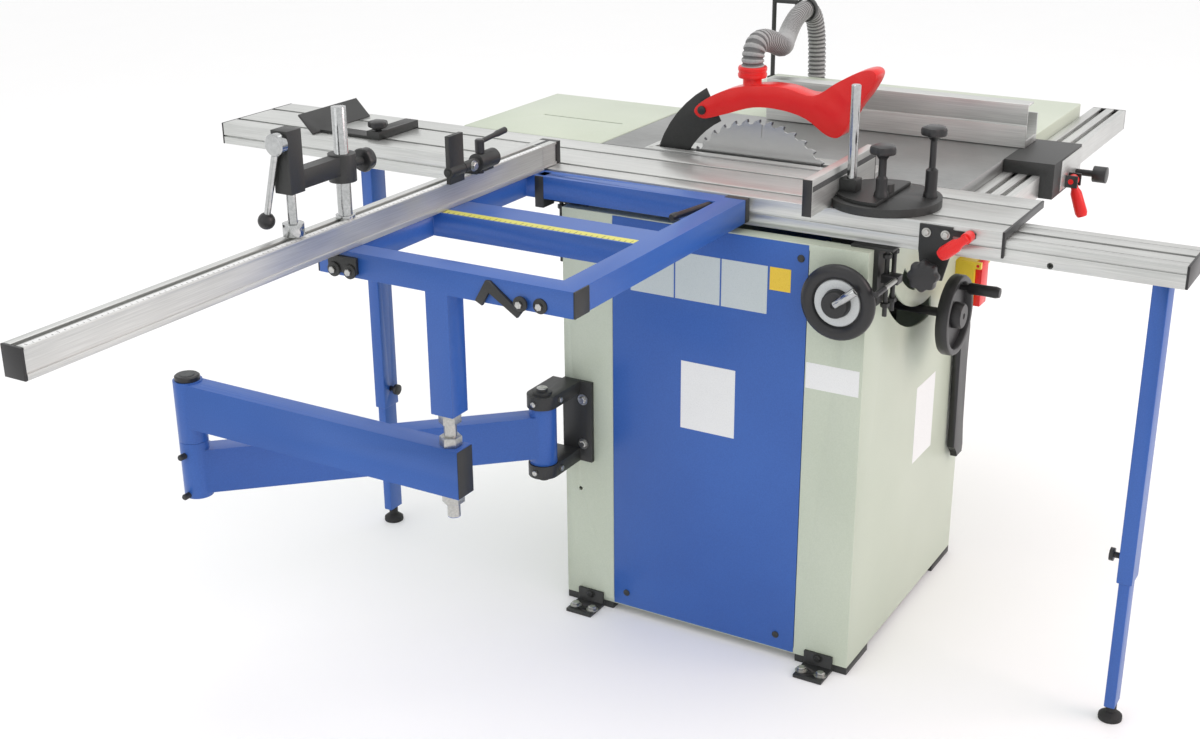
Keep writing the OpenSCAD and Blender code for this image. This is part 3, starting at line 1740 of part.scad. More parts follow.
// Extraction hose: a ribbed tube from the guard over the hanger to the spigot.
// Its route is a smooth curve through these points.
hose_route = [
    [18, 60, 1000.6], [18, 60, 1022], [20, 60, 1046], [38, 60, 1072], [75, 62, 1078], [125, 68, 1060],
    [220, 100, 1022], [330, 142, 990], [440, 188, 968], [540, 228, 960], [630, 258, 968], [690, 270, 980],
    [745, 275, 985], [785, 275, 968], [806, 274, 925], [810, 272, 860], [808, 270, 760], [800, 268, 650],
    [780, 264, 540], [735, 258, 440], [665, 252, 365], [580, 246, 320], [480, 241, 302], [410, 240, 300],
    [374, 240, 300], [330, 240, 300]
];
hose_fine = 8;
hose_sides = 8;
rib_in = 2.5;

function open_spline(p, steps) = [
    for (i = [0 : len(p) - 2], k = [0 : steps - 1])
        spline_point(p[max(i - 1, 0)], p[i], p[i + 1], p[min(i + 2, len(p) - 1)], k / steps),
    p[len(p) - 1]
];
function run_lengths(p, i = 1, s = [0]) =
    i == len(p) ? s : run_lengths(p, i + 1, concat(s, [s[i - 1] + norm(p[i] - p[i - 1])]));

hose_line = open_spline(hose_route, hose_fine);
hose_runs = run_lengths(hose_line);
hose_l = hose_runs[len(hose_runs) - 1];
hose_keys = [for (c = [0 : 2]) [for (i = [0 : len(hose_line) - 1]) [hose_runs[i], hose_line[i][c]]]];

function hose_at(s) = [for (c = [0 : 2]) lookup(s, hose_keys[c])];
function hose_dir(s) =
    let (a = hose_at(max(s - rib_in, 0)), b = hose_at(min(s + rib_in, hose_l)))
    (b - a) / norm(b - a);
function hose_ring(s, r) =
    let (c = hose_at(s), t = hose_dir(s), u = cross(t, [0, 1, 0]) / norm(cross(t, [0, 1, 0])), v = cross(t, u))
    [for (k = [0 : hose_sides - 1]) c + r * (cos(360 * k / hose_sides) * u + sin(360 * k / hose_sides) * v)];

// Triangles between ring a and ring b of a list of rings that starts at point base
function ring_band(base, a, b, flip) = [
    for (k = [0 : hose_sides - 1])
        let (n = (k + 1) % hose_sides,
             p = base + a * hose_sides + k, q = base + a * hose_sides + n,
             s = base + b * hose_sides + k, t = base + b * hose_sides + n)
        each (flip ? [[p, s, q], [q, s, t]] : [[p, q, s], [q, t, s]])
];

module extraction_hose() {
    outer = 2 * hose_ribs;
    inner = hose_ribs;
    ro = hose_d / 2;
    outer_rings = [for (i = [0 : outer - 1]) hose_ring(hose_l * i / (outer - 1), ro - (i % 2) * rib_in)];
    inner_rings = [for (i = [0 : inner - 1]) hose_ring(hose_l * i / (inner - 1), hose_bore / 2)];
    base = outer * hose_sides;
    points = concat([for (r = outer_rings) each r], [for (r = inner_rings) each r]);
    faces = concat(
        [for (i = [0 : outer - 2]) each ring_band(0, i, i + 1, true)],
        [for (i = [0 : inner - 2]) each ring_band(base, i, i + 1, false)],
        [for (k = [0 : hose_sides - 1])
            let (n = (k + 1) % hose_sides)
            each [[k, n, base + k], [n, base + n, base + k]]],
        [for (k = [0 : hose_sides - 1])
            let (n = (k + 1) % hose_sides, a = (outer - 1) * hose_sides, b = base + (inner - 1) * hose_sides)
            each [[a + n, a + k, b + k], [b + n, a + n, b + k]]]
    );
    color([0.55, 0.56, 0.55])
        polyhedron(points, faces);
}

cabinet_shell();
side_panel();
base_feet();
main_table();
throat_plate();
rear_table();
right_table();
fence_rail();
slide_rail();
rail_brackets();
leg_tubes();
front_leg_inner();
rear_leg_inner();
front_leg_screw();
rear_leg_screw();
arm_bracket();
lower_arm();
upper_arm();
sliding_table();
lock_plate();
lock_lever();
lock_knob();
outrigger_frame();
edging_shoe();
shoe_knob();
tilt_cradle();
tilt_wheel();
tilt_handle();
raise_wheel();
arbor_housing();
motor();
motor_pulley();
drive_belt();
arbor_shaft();
saw_blade();
riving_knife();
blade_guard();
rip_carrier();
rip_fence();
rip_lever();
rip_knob();
mitre_base();
mitre_fence();
mitre_lock_knob();
mitre_clamp_knob();
crosscut_fence();
stop_block();
flip_stop();
stop_lever();
clamp_post();
clamp_arm();
clamp_spindle();
clamp_lever();
switch_box();
start_button();
stop_button();
switch_flap();
push_stick();
hose_fittings();
extraction_hose();
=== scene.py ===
import math

import bmesh
import bpy
from mathutils import Matrix, Vector


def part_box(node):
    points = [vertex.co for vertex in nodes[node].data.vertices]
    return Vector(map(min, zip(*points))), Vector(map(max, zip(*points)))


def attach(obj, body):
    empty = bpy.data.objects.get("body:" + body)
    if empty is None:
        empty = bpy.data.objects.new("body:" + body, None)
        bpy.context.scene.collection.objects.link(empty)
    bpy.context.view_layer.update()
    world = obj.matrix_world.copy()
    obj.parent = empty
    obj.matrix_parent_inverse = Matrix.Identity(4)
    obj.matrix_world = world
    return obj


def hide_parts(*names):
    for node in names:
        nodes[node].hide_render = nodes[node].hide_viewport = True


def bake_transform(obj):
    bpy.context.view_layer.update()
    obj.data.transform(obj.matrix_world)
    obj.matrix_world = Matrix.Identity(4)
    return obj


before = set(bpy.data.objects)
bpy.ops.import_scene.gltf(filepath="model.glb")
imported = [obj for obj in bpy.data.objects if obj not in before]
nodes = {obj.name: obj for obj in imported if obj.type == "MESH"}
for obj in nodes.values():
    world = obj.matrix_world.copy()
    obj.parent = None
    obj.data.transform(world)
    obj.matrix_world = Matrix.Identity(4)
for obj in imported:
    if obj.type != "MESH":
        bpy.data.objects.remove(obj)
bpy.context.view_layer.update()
scene = bpy.context.scene

# Camera and studio. The camera stands left of the operator and looks down on the saw, as in the photo;
# the floor and the world are white, and three large soft lamps shape the machine.
camera = bpy.data.objects.new("camera", bpy.data.cameras.new("camera"))
camera.data.sensor_width = 36
camera.data.lens = 48.2
camera.data.clip_end = 60
camera_place = Vector((-2.5964, -1.1697, 1.5439))
azimuth, elevation, roll = math.radians(30.72), math.radians(-21.36), math.radians(-0.52)
ahead = Vector((math.cos(azimuth), math.sin(azimuth), math.tan(elevation))).normalized()
level = ahead.cross(Vector((0, 0, 1))).normalized()
upward = level.cross(ahead)
right = math.cos(roll) * level + math.sin(roll) * upward
up = math.cos(roll) * upward - math.sin(roll) * level
camera_rows = [[right[i], up[i], -ahead[i], camera_place[i]] for i in range(3)]
camera.matrix_world = Matrix(camera_rows + [[0, 0, 0, 1]])
scene.collection.objects.link(camera)
scene.camera = camera
scene.view_settings.view_transform = "Standard"
scene.view_settings.look = "None"
scene.world = bpy.data.worlds.new("studio")
scene.world.use_nodes = True
scene.world.node_tree.nodes["Background"].inputs["Color"].default_value = (1.0, 1.0, 1.0, 1)
scene.world.node_tree.nodes["Background"].inputs["Strength"].default_value = 0.97


def lamp(name, place, target, size, power, tint=(1, 1, 1)):
    data = bpy.data.lights.new(name, "AREA")
    data.energy = power
    data.size = size
    data.color = tint
    obj = bpy.data.objects.new(name, data)
    obj.location = place
    obj.rotation_euler = (Vector(target) - Vector(place)).to_track_quat("-Z", "Y").to_euler()
    scene.collection.objects.link(obj)


lamp("key", (0.4, -3.8, 2.8), (0, 0, 0.5), 2.4, 53, (1.0, 0.77, 0.78))
lamp("side", (-4.2, 1.8, 2.6), (0, 0.2, 0.5), 2.4, 10)
lamp("top", (0.6, 0.6, 4.4), (0, 0.1, 0.6), 3.0, 34)

# Extraction hose. A grey ribbed tube leaves the guard's cuff, arches over to the hanger's ring, goes down
# beside the right table and back to the spigot on the cabinet; red bands hold its upper end.


def surface(
    name, dark, light, rough, metal=0.0, scale=120.0, stretch=(1, 1, 1), bump=0.04, span=0.08, coat=0.0
):
    """A finish with two tones mixed by noise, uneven roughness and a fine bump."""
    mat = bpy.data.materials.new(name)
    mat.use_nodes = True
    tree = mat.node_tree
    shader = tree.nodes["Principled BSDF"]
    place = tree.nodes.new("ShaderNodeTexCoord")
    turn = tree.nodes.new("ShaderNodeMapping")
    turn.inputs["Scale"].default_value = stretch
    fine = tree.nodes.new("ShaderNodeTexNoise")
    fine.inputs["Scale"].default_value = scale
    fine.inputs["Detail"].default_value = 5
    broad = tree.nodes.new("ShaderNodeTexNoise")
    broad.inputs["Scale"].default_value = 3.5
    broad.inputs["Detail"].default_value = 3
    scaled = tree.nodes.new("ShaderNodeMath")
    scaled.operation = "MULTIPLY"
    scaled.inputs[1].default_value = 0.55
    blend = tree.nodes.new("ShaderNodeMath")
    blend.operation = "MULTIPLY_ADD"
    blend.inputs[1].default_value = 0.55
    ramp = tree.nodes.new("ShaderNodeValToRGB")
    ramp.color_ramp.elements[0].position = 0.42
    ramp.color_ramp.elements[0].color = (*dark, 1)
    ramp.color_ramp.elements[1].position = 0.72
    ramp.color_ramp.elements[1].color = (*light, 1)
    shine = tree.nodes.new("ShaderNodeMapRange")
    shine.inputs["To Min"].default_value = max(rough - span, 0.03)
    shine.inputs["To Max"].default_value = rough + span
    height = tree.nodes.new("ShaderNodeBump")
    height.inputs["Strength"].default_value = bump
    height.inputs["Distance"].default_value = 0.0008
    link = tree.links.new
    link(place.outputs["Object"], turn.inputs["Vector"])
    link(turn.outputs["Vector"], fine.inputs["Vector"])
    link(place.outputs["Object"], broad.inputs["Vector"])
    link(fine.outputs["Fac"], blend.inputs[0])
    link(broad.outputs["Fac"], scaled.inputs[0])
    link(scaled.outputs[0], blend.inputs[2])
    link(blend.outputs[0], ramp.inputs["Fac"])
    link(ramp.outputs["Color"], shader.inputs["Base Color"])
    link(fine.outputs["Fac"], shine.inputs["Value"])
    link(shine.outputs["Result"], shader.inputs["Roughness"])
    link(fine.outputs["Fac"], height.inputs["Height"])
    link(height.outputs["Normal"], shader.inputs["Normal"])
    shader.inputs["Metallic"].default_value = metal
    shader.inputs["Coat Weight"].default_value = coat
    return mat


def place_mesh(name, bm, material, body, stands_for=(), sharp=35):
    """Turns a bmesh into a piece of the saw that rides on a body, or on none yet."""
    bmesh.ops.remove_doubles(bm, verts=bm.verts, dist=1e-6)
    bmesh.ops.recalc_face_normals(bm, faces=bm.faces)
    mesh = bpy.data.meshes.new(name)
    bm.to_mesh(mesh)
    bm.free()
    mesh.shade_smooth()
    mesh.set_sharp_from_angle(angle=math.radians(sharp))
    mesh.materials.append(material)
    obj = bpy.data.objects.new(name, mesh)
    scene.collection.objects.link(obj)
    if body:
        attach(obj, body)
    if stands_for:
        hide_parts(*stands_for)
    return obj


def turned(bm, profile, centre, axis, steps=28):
    """A profile of (radius, height) turned about an axis through centre."""
    axis = Vector(axis).normalized()
    side = axis.orthogonal().normalized()
    verts = [bm.verts.new(Vector(centre) + side * r + axis * h) for r, h in profile]
    edges = [bm.edges.new((a, b)) for a, b in zip(verts, verts[1:])]
    bmesh.ops.spin(
        bm, geom=verts + edges, cent=centre, axis=axis, dvec=(0, 0, 0), angle=2 * math.pi,
        steps=steps, use_merge=True
    )


def corners(node):
    low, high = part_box(node)
    return Vector(low), Vector(high)


cuff = Vector((0.018, 0.060, 1.0))
route = [
    (0.018, 0.060, 1.0006), (0.018, 0.060, 1.013), (0.022, 0.060, 1.027), (0.032, 0.060, 1.0365),
    (0.048, 0.060, 1.040), (0.075, 0.062, 1.037), (0.115, 0.065, 1.027), (0.160, 0.073, 1.014),
    (0.220, 0.094, 1.003), (0.330, 0.140, 0.985),
    (0.440, 0.188, 0.968), (0.540, 0.228, 0.960), (0.630, 0.258, 0.968), (0.690, 0.270, 0.980),
    (0.745, 0.275, 0.985), (0.785, 0.275, 0.968), (0.806, 0.274, 0.925), (0.810, 0.272, 0.860),
    (0.808, 0.270, 0.760), (0.800, 0.268, 0.650), (0.780, 0.264, 0.540), (0.735, 0.258, 0.440),
    (0.665, 0.252, 0.365), (0.580, 0.246, 0.320), (0.480, 0.241, 0.302), (0.410, 0.240, 0.300),
    (0.374, 0.240, 0.300), (0.330, 0.240, 0.300),
]
route = [Vector(p) for p in route]
fine_steps = 12
line = []
for i in range(len(route) - 1):
    a, b, c, d = route[max(i - 1, 0)], route[i], route[i + 1], route[min(i + 2, len(route) - 1)]
    for k in range(fine_steps):
        t = k / fine_steps
        curl = (2 * a - 5 * b + 4 * c - d) * t * t + (3 * b - a - 3 * c + d) * t * t * t
        line.append(0.5 * (2 * b + (c - a) * t + curl))
line.append(route[-1])
runs = [0.0]
for p, q in zip(line, line[1:]):
    runs.append(runs[-1] + (q - p).length)
hose_length = runs[-1]
ribs, sides, hose_r, hose_in, rib_round = 190, 16, 0.0205, 0.0175, 0.0006
bm = bmesh.new()
rings = []
at = 0
for i in range(ribs * 4 + 1):
    s = hose_length * i / (ribs * 4)
    while at < len(runs) - 2 and runs[at + 1] < s:
        at += 1
    share = (s - runs[at]) / (runs[at + 1] - runs[at])
    centre = line[at].lerp(line[at + 1], share)
    way = (line[min(at + 2, len(line) - 1)] - line[max(at - 1, 0)]).normalized()
    u = way.cross(Vector((0, 1, 0))).normalized()
    v = way.cross(u)
    r = (hose_r, hose_r - rib_round, hose_in, hose_r - rib_round)[i % 4]
    turns = [2 * math.pi * k / sides for k in range(sides)]
    rings.append([bm.verts.new(centre + r * (math.cos(a) * u + math.sin(a) * v)) for a in turns])
for i in range(ribs * 4):
    low, high = rings[i], rings[i + 1]
    for k in range(sides):
        face = bm.faces.new((low[k], low[(k + 1) % sides], high[(k + 1) % sides], high[k]))
        # The groove walls take the darker grey: painted shade inside the grooves.
        face.material_index = 1 if i % 4 in (1, 2) else 0
bm.faces.new(rings[0])
bm.faces.new(rings[-1])
hose_grey = surface("hose grey", (0.25, 0.25, 0.25), (0.36, 0.36, 0.352), 0.40, scale=300, bump=0.05)
# A darker copy of the hose grey, used as painted shade in the grooves.
painted_groove_shade = surface("hose groove painted shade", (0.09, 0.09, 0.09), (0.15, 0.15, 0.15), 0.55, scale=300, bump=0.05)
hose = place_mesh("hose", bm, hose_grey, None, ["extraction_hose"], 60)
hose.data.materials.append(painted_groove_shade)
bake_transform(hose)
red = surface(
    "red plastic", (0.66, 0.010, 0.010), (0.80, 0.018, 0.016), 0.30, scale=700, bump=0.02, coat=0.08
)
red.node_tree.nodes["Principled BSDF"].inputs["Specular IOR Level"].default_value = 0.35
band_in, band_out, band_h, band_edge = 0.0246, 0.0262, 0.007, 0.001
band_places = (-0.019, -0.008)
bm = bmesh.new()
for low in band_places:
    top = low + band_h
    rim = [(band_in, low), (band_out, low + band_edge), (band_out, top - band_edge), (band_in, top)]
    turned(bm, rim, cuff, (0, 0, 1), 32)
place_mesh("cuff_bands", bm, red, "guard")

# Cabinet. Cream folded sheet with a blue side panel held by dark screws, black base plates bolted to the
# floor, and bare plates where a maker would put labels.


def wear(node, material, bevel=0.0008, sharp=35, flat=False):
    """Puts a finish on a CAD node and softens its edges; flat joins each plane's triangles first."""
    obj = nodes[node]
    obj.data.materials.clear()
    obj.data.materials.append(material)
    obj.data.shade_smooth()
    obj.data.set_sharp_from_angle(angle=math.radians(sharp))
    if bevel:
        join = obj.modifiers.new("join", "WELD")
        join.merge_threshold = 1e-5
        if flat:
            planes = obj.modifiers.new("planes", "DECIMATE")
            planes.decimate_type = "DISSOLVE"
            planes.angle_limit = math.radians(0.5)
        edge = obj.modifiers.new("edge", "BEVEL")
        edge.width = bevel
        edge.segments = 2
        edge.limit_method = "ANGLE"
        edge.angle_limit = math.radians(50)
        edge.harden_normals = True
    return obj


def block(bm, lo, hi, bevel=0.001, segments=2):
    made = bmesh.ops.create_cube(bm, size=1)["verts"]
    lo, hi = Vector(lo), Vector(hi)
    for v in made:
        v.co = Vector([lo[i] + (v.co[i] + 0.5) * (hi[i] - lo[i]) for i in range(3)])
    if bevel:
        edges = list({e for v in made for e in v.link_edges})
        bmesh.ops.bevel(
            bm, geom=edges, offset=bevel, segments=segments, profile=0.5, affect="EDGES", material=-1
        )


def bolt(bm, at, out, r=0.006, h=0.005, washer=1.5):
    """A hexagon head on a washer, standing out of a face."""
    out = Vector(out).normalized()
    at = Vector(at)
    if washer:
        turned(bm, [(0, 0), (r * washer, 0), (r * washer, 0.0012), (0, 0.0012)], at, out, 18)
    turned(bm, [(r * 1.05, 0.001), (r * 1.05, h - 0.001), (r * 0.85, h), (0, h)], at, out, 6)


def dome(bm, at, out, r=0.006, h=0.003):
    """A round screw head standing out of a face."""
    turned(bm, [(r, 0), (r, h * 0.4), (r * 0.8, h * 0.8), (r * 0.4, h), (0, h)], at, Vector(out), 16)


cream = surface(
    "cream paint", (0.50, 0.555, 0.445), (0.56, 0.61, 0.50), 0.42, scale=420, bump=0.03, coat=0.05
)
blue = surface(
    "blue paint", (0.021, 0.092, 0.365), (0.029, 0.118, 0.435), 0.38, scale=420, bump=0.04, coat=0.05
)
black = surface("black paint", (0.016, 0.017, 0.0165), (0.030, 0.031, 0.030), 0.46, scale=500, bump=0.05)
zinc = surface("zinc screws", (0.42, 0.42, 0.40), (0.60, 0.60, 0.58), 0.32, 1.0, scale=300, bump=0.02)
shell_low, shell_high = corners("cabinet_shell")
panel_low, panel_high = corners("side_panel")
side_x, front_y = shell_low.x, -shell_high.y
wear("cabinet_shell", cream, 0.0015, flat=True)
wear("base_feet", black, 0.001)
wear("arm_bracket", black, 0.0012)
wear("hose_fittings", black, 0.0008)
sheet_low = Vector((side_x - 0.0008, panel_low.y, shell_low.z + 0.002))
sheet_high = Vector((panel_high.x, panel_high.y, shell_high.z - 0.002))
bm = bmesh.new()
block(bm, sheet_low, sheet_high, 0.0004)
place_mesh("panel_sheet", bm, blue, "cabinet", ["side_panel"])
panel_screw_places = ((-0.172, 0.754), (0.172, 0.754), (-0.150, 0.043), (0.158, 0.043))
bm = bmesh.new()
for y, z in panel_screw_places:
    dome(bm, (sheet_low.x, y, z), (-1, 0, 0), 0.0065, 0.003)
place_mesh("panel_screws", bm, black, "cabinet")
ear_high = corners("base_feet")[1]
ear_top, bolt_x = 0.006, ear_high.x - 0.020
ear_screw_x, ear_screw_y, ear_screw_z = ear_high.x - 0.047, ear_high.y - 0.053, 0.022
bracket_low, bracket_high = corners("arm_bracket")
bracket_t, bracket_bolt_in = 0.008, 0.045
bm = bmesh.new()
for sx in (-1, 1):
    for sy in (-1, 1):
        for inward in (0.036, 0.072):
            bolt(bm, (sx * bolt_x, sy * (ear_high.y - inward), ear_top), (0, 0, 1), 0.0075, 0.007, 1.5)
for z in (bracket_low.z + bracket_bolt_in, bracket_high.z - bracket_bolt_in):
    bolt(bm, (side_x - bracket_t, panel_high.y + 0.060, z), (-1, 0, 0), 0.0065, 0.006, 1.6)
place_mesh("floor_and_bracket_bolts", bm, zinc, "cabinet")
bm = bmesh.new()
for sx in (-1, 1):
    for sy in (-1, 1):
        bolt(bm, (sx * ear_screw_x, sy * ear_screw_y, ear_screw_z), (sx, 0, 0), 0.006, 0.005, 1.4)
place_mesh("ear_screws", bm, black, "cabinet")
lug_r, lug_h, lug_in = 0.028, 0.024, 0.010
shoulder = Vector((bracket_low.x + lug_r, bracket_high.y - lug_r, bracket_high.z))
pin_head = [(0, -0.001), (0.0098, -0.001), (0.0098, 0.0008), (0.0085, 0.0016), (0.004, 0.0016), (0, 0.0008)]
grub = [(0, -0.003), (0.005, -0.003), (0.005, 0.004), (0.0035, 0.005), (0, 0.005)]
bm = bmesh.new()
turned(bm, pin_head, shoulder, (0, 0, 1), 24)
for z in (bracket_high.z - lug_in - lug_h / 2, bracket_low.z + lug_in + lug_h / 2):
    turned(bm, grub, (shoulder.x - lug_r, shoulder.y, z), (-1, 0, 0), 12)
    turned(bm, grub, (shoulder.x + 0.014, shoulder.y - lug_r, z), (0, -1, 0), 12)
place_mesh("shoulder_pin_and_screws", bm, zinc, "cabinet")
label_grey = surface("label grey", (0.50, 0.56, 0.56), (0.58, 0.63, 0.63), 0.30, scale=600, bump=0.01)
label_white = surface("label white", (0.74, 0.75, 0.74), (0.82, 0.83, 0.82), 0.30, scale=600, bump=0.01)
label_yellow = surface("label yellow", (0.75, 0.50, 0.03), (0.85, 0.60, 0.05), 0.30, scale=600, bump=0.01)
label_t = 0.0004
for name, material, x, y, z in (
    ("label_plate_rear", label_grey, sheet_low.x, (0.063, 0.148), (0.648, 0.732)),
    ("label_plate_middle", label_grey, sheet_low.x, (-0.025, 0.060), (0.648, 0.732)),
    ("label_plate_front", label_grey, sheet_low.x, (-0.113, -0.028), (0.648, 0.732)),
    ("label_plate_warning", label_yellow, sheet_low.x, (-0.155, -0.117), (0.692, 0.732)),
    ("label_plate_data", label_white, sheet_low.x, (-0.058, 0.047), (0.408, 0.535)),
    ("label_plate_post", label_white, side_x, (-0.283, -0.188), (0.530, 0.576)),
):
    bm = bmesh.new()
    block(bm, (x - label_t, y[0], z[0]), (x + label_t, y[1], z[1]), 0.0001, 1)
    place_mesh(name, bm, material, "cabinet")
door_x, door_z = (0.008, 0.106), (0.300, 0.450)
bm = bmesh.new()
block(bm, (door_x[0], front_y - label_t, door_z[0]), (door_x[1], front_y + label_t, door_z[1]), 0.0001, 1)
place_mesh("label_plate_door", bm, label_white, "cabinet")

# Cast and sheet tables. The main table is ground iron with the throat plate let in; the rear and right tables
# are cream trays, and the slotted front rail runs along them.


def prism(bm, outline, axis, a, b, bevel=0.001, segments=2):
    """An outline drawn out along an axis from a to b, with its rims bevelled."""
    spot = {
        "x": lambda p, h: (h, p[0], p[1]),
        "y": lambda p, h: (p[0], h, p[1]),
        "z": lambda p, h: (p[0], p[1], h),
    }[axis]
    low = [bm.verts.new(spot(p, a)) for p in outline]
    high = [bm.verts.new(spot(p, b)) for p in outline]
    faces = [bm.faces.new(low), bm.faces.new(high)]
    n = len(outline)
    for i in range(n):
        bm.faces.new((low[i], low[(i + 1) % n], high[(i + 1) % n], high[i]))
    if bevel:
        rims = list({e for f in faces for e in f.edges})
        bmesh.ops.bevel(
            bm, geom=rims, offset=bevel, segments=segments, profile=0.5, affect="EDGES", material=-1
        )


grain_y, grain_x = (26, 0.5, 26), (0.5, 26, 26)
alloy_dark, alloy_light = (0.52, 0.53, 0.515), (0.70, 0.71, 0.69)
iron = surface("ground iron", (0.24, 0.245, 0.24), (0.38, 0.385, 0.38), 0.36, 0.8, 60, (14, 1, 14), 0.05)
cast = surface("raw casting", (0.06, 0.065, 0.065), (0.12, 0.125, 0.125), 0.62, 0.3, 260, bump=0.25)
alloy_y = surface("alloy along the feed", alloy_dark, alloy_light, 0.38, 0.75, 22, grain_y, 0.03)
alloy_x = surface("alloy across", alloy_dark, alloy_light, 0.38, 0.75, 22, grain_x, 0.03)
wear("main_table", iron, 0.0008)
wear("throat_plate", alloy_y, 0.0004)
wear("rear_table", cream, 0.002)
wear("right_table", cream, 0.002)
wear("fence_rail", alloy_x, 0.0006)
plate_low, plate_high = corners("throat_plate")
table_z = plate_high.z
screw_in = 0.010
bm = bmesh.new()
for y in (plate_low.y + screw_in, plate_high.y - screw_in):
    for x in (plate_low.x + screw_in, plate_high.x - screw_in):
        dome(bm, (x, y, table_z - 0.0002), (0, 0, 1), 0.0045, 0.0008)
place_mesh("throat_screws", bm, zinc, "cabinet")
plastic = surface("black plastic", (0.011, 0.011, 0.012), (0.024, 0.024, 0.025), 0.36, scale=900, bump=0.06)
rail_low, rail_high = corners("fence_rail")
cap_t = 0.004
bm = bmesh.new()
block(bm, (rail_high.x, rail_low.y, rail_low.z), (rail_high.x + cap_t, rail_high.y, rail_high.z))
block(bm, (rail_low.x - cap_t, rail_low.y, rail_low.z), (rail_low.x, rail_high.y, rail_high.z))
place_mesh("front_rail_caps", bm, plastic, "cabinet")

# Guide rail and legs. An alloy rail sits on black angles with levelling nuts; each blue leg has a thumb screw
# and a black rubber foot.
rubber = surface("rubber", (0.012, 0.012, 0.012), (0.026, 0.026, 0.026), 0.7, scale=500, bump=0.1)
wear("slide_rail", alloy_y, 0.0006)
wear("rail_brackets", black, 0.0008)
wear("leg_tubes", blue, 0.0015)
wear("front_leg_screw", plastic, 0.0008)
wear("rear_leg_screw", plastic, 0.0008)
guide_low, guide_high = corners("slide_rail")
bm = bmesh.new()
for y in (guide_low.y - cap_t, guide_high.y):
    block(bm, (guide_low.x, y, guide_low.z), (guide_high.x, y + cap_t, guide_high.z))
place_mesh("guide_rail_caps", bm, plastic, "cabinet")
tubes_low, tubes_high = corners("leg_tubes")
tube_d, inner_w, inner_d = 0.025, 0.038, 0.018
leg_x = (tubes_low.x + tubes_high.x) / 2
foot = [(0, 0), (0.0195, 0), (0.020, 0.003), (0.0195, 0.008), (0.012, 0.014), (0.009, 0.015), (0.009, 0.030)]
for side, y in (("front", tubes_low.y + tube_d / 2), ("rear", tubes_high.y - tube_d / 2)):
    low, high = (leg_x - inner_w / 2, y - inner_d / 2, 0.030), (leg_x + inner_w / 2, y + inner_d / 2, 0.480)
    bm = bmesh.new()
    block(bm, low, high, 0.0015)
    place_mesh(side + "_inner_leg", bm, blue, side + "_leg", [side + "_leg_inner"])
    bm = bmesh.new()
    turned(bm, foot, (leg_x, y, 0), (0, 0, 1), 32)
    place_mesh(side + "_foot", bm, rubber, side + "_leg")
angle_low, angle_high = corners("rail_brackets")
nut = [(0, 0), (0.0075, 0), (0.0075, 0.0065), (0, 0.0065)]
bm = bmesh.new()
for y in (angle_low.y + 0.012, angle_high.y - 0.012):
    for x in (angle_low.x + 0.009, angle_low.x + 0.041):
        for z in (angle_low.z + 0.016, shell_high.z - 0.013):
            turned(bm, nut, (x, y, z), (0, 0, 1), 6)
place_mesh("levelling_nuts", bm, black, "cabinet")
bar_z, bar_y, bar_r = 0.735, -0.3265, 0.005
bar_tip, tip_long, bar_foot, bar_long = -0.335, 0.038, -0.228, 0.060
bm = bmesh.new()
block(bm, (bar_foot - 0.022, bar_y - bar_r, bar_z - 0.008), (bar_foot, angle_low.y + 0.018, bar_z + 0.006))
tip = [(0, 0), (bar_r, 0), (bar_r, 0.002 - tip_long), (bar_r * 0.7, -tip_long), (0, -tip_long)]
turned(bm, tip, (bar_tip + tip_long, bar_y, bar_z), (1, 0, 0), 16)
place_mesh("rail_bar_block_and_tip", bm, plastic, "cabinet")
bm = bmesh.new()
rod = [(0, 0), (bar_r * 0.9, 0), (bar_r * 0.9, bar_long), (0, bar_long)]
turned(bm, rod, (bar_tip + tip_long - 0.002, bar_y, bar_z), (1, 0, 0), 16)
place_mesh("rail_bar", bm, zinc, "cabinet")

# Saw unit. Iron cradle and arbor housing, a grey finned motor with a belt, the bright blade with carbide
# tips, the black knife and the red guard on it.
steel = surface("machined steel", (0.36, 0.36, 0.37), (0.55, 0.55, 0.56), 0.28, 1.0, scale=200, bump=0.02)
carbide = surface("carbide", (0.10, 0.10, 0.11), (0.20, 0.20, 0.21), 0.35, 0.9, scale=400, bump=0.03)
motor_grey = surface("motor grey", (0.16, 0.17, 0.18), (0.24, 0.25, 0.26), 0.45, 0.2, scale=300, bump=0.1)
blade_low, blade_high = corners("saw_blade")
blade_mid = (blade_low + blade_high) / 2
blade_r = (blade_high.z - blade_low.z) / 2
ground = bpy.data.materials.new("ground blade")
ground.use_nodes = True
tree = ground.node_tree
shader = tree.nodes["Principled BSDF"]
place = tree.nodes.new("ShaderNodeTexCoord")
shift = tree.nodes.new("ShaderNodeMapping")
shift.inputs["Location"].default_value = (0, -blade_mid.y, -blade_mid.z)
shift.inputs["Scale"].default_value = (0, 1, 1)
reach = tree.nodes.new("ShaderNodeVectorMath")
reach.operation = "LENGTH"
grinding = tree.nodes.new("ShaderNodeTexNoise")
grinding.noise_dimensions = "1D"
grinding.inputs["Scale"].default_value = 900
grinding.inputs["Detail"].default_value = 4
tone = tree.nodes.new("ShaderNodeValToRGB")
tone.color_ramp.elements[0].color = (0.38, 0.38, 0.38, 1)
tone.color_ramp.elements[1].color = (0.68, 0.68, 0.68, 1)
ridge = tree.nodes.new("ShaderNodeBump")
ridge.inputs["Strength"].default_value = 0.08
ridge.inputs["Distance"].default_value = 0.0004
tree.links.new(place.outputs["Object"], shift.inputs["Vector"])
tree.links.new(shift.outputs["Vector"], reach.inputs[0])
tree.links.new(reach.outputs["Value"], grinding.inputs["W"])
tree.links.new(grinding.outputs["Fac"], tone.inputs["Fac"])
tree.links.new(tone.outputs["Color"], shader.inputs["Base Color"])
tree.links.new(grinding.outputs["Fac"], ridge.inputs["Height"])
tree.links.new(ridge.outputs["Normal"], shader.inputs["Normal"])
shader.inputs["Metallic"].default_value = 1.0
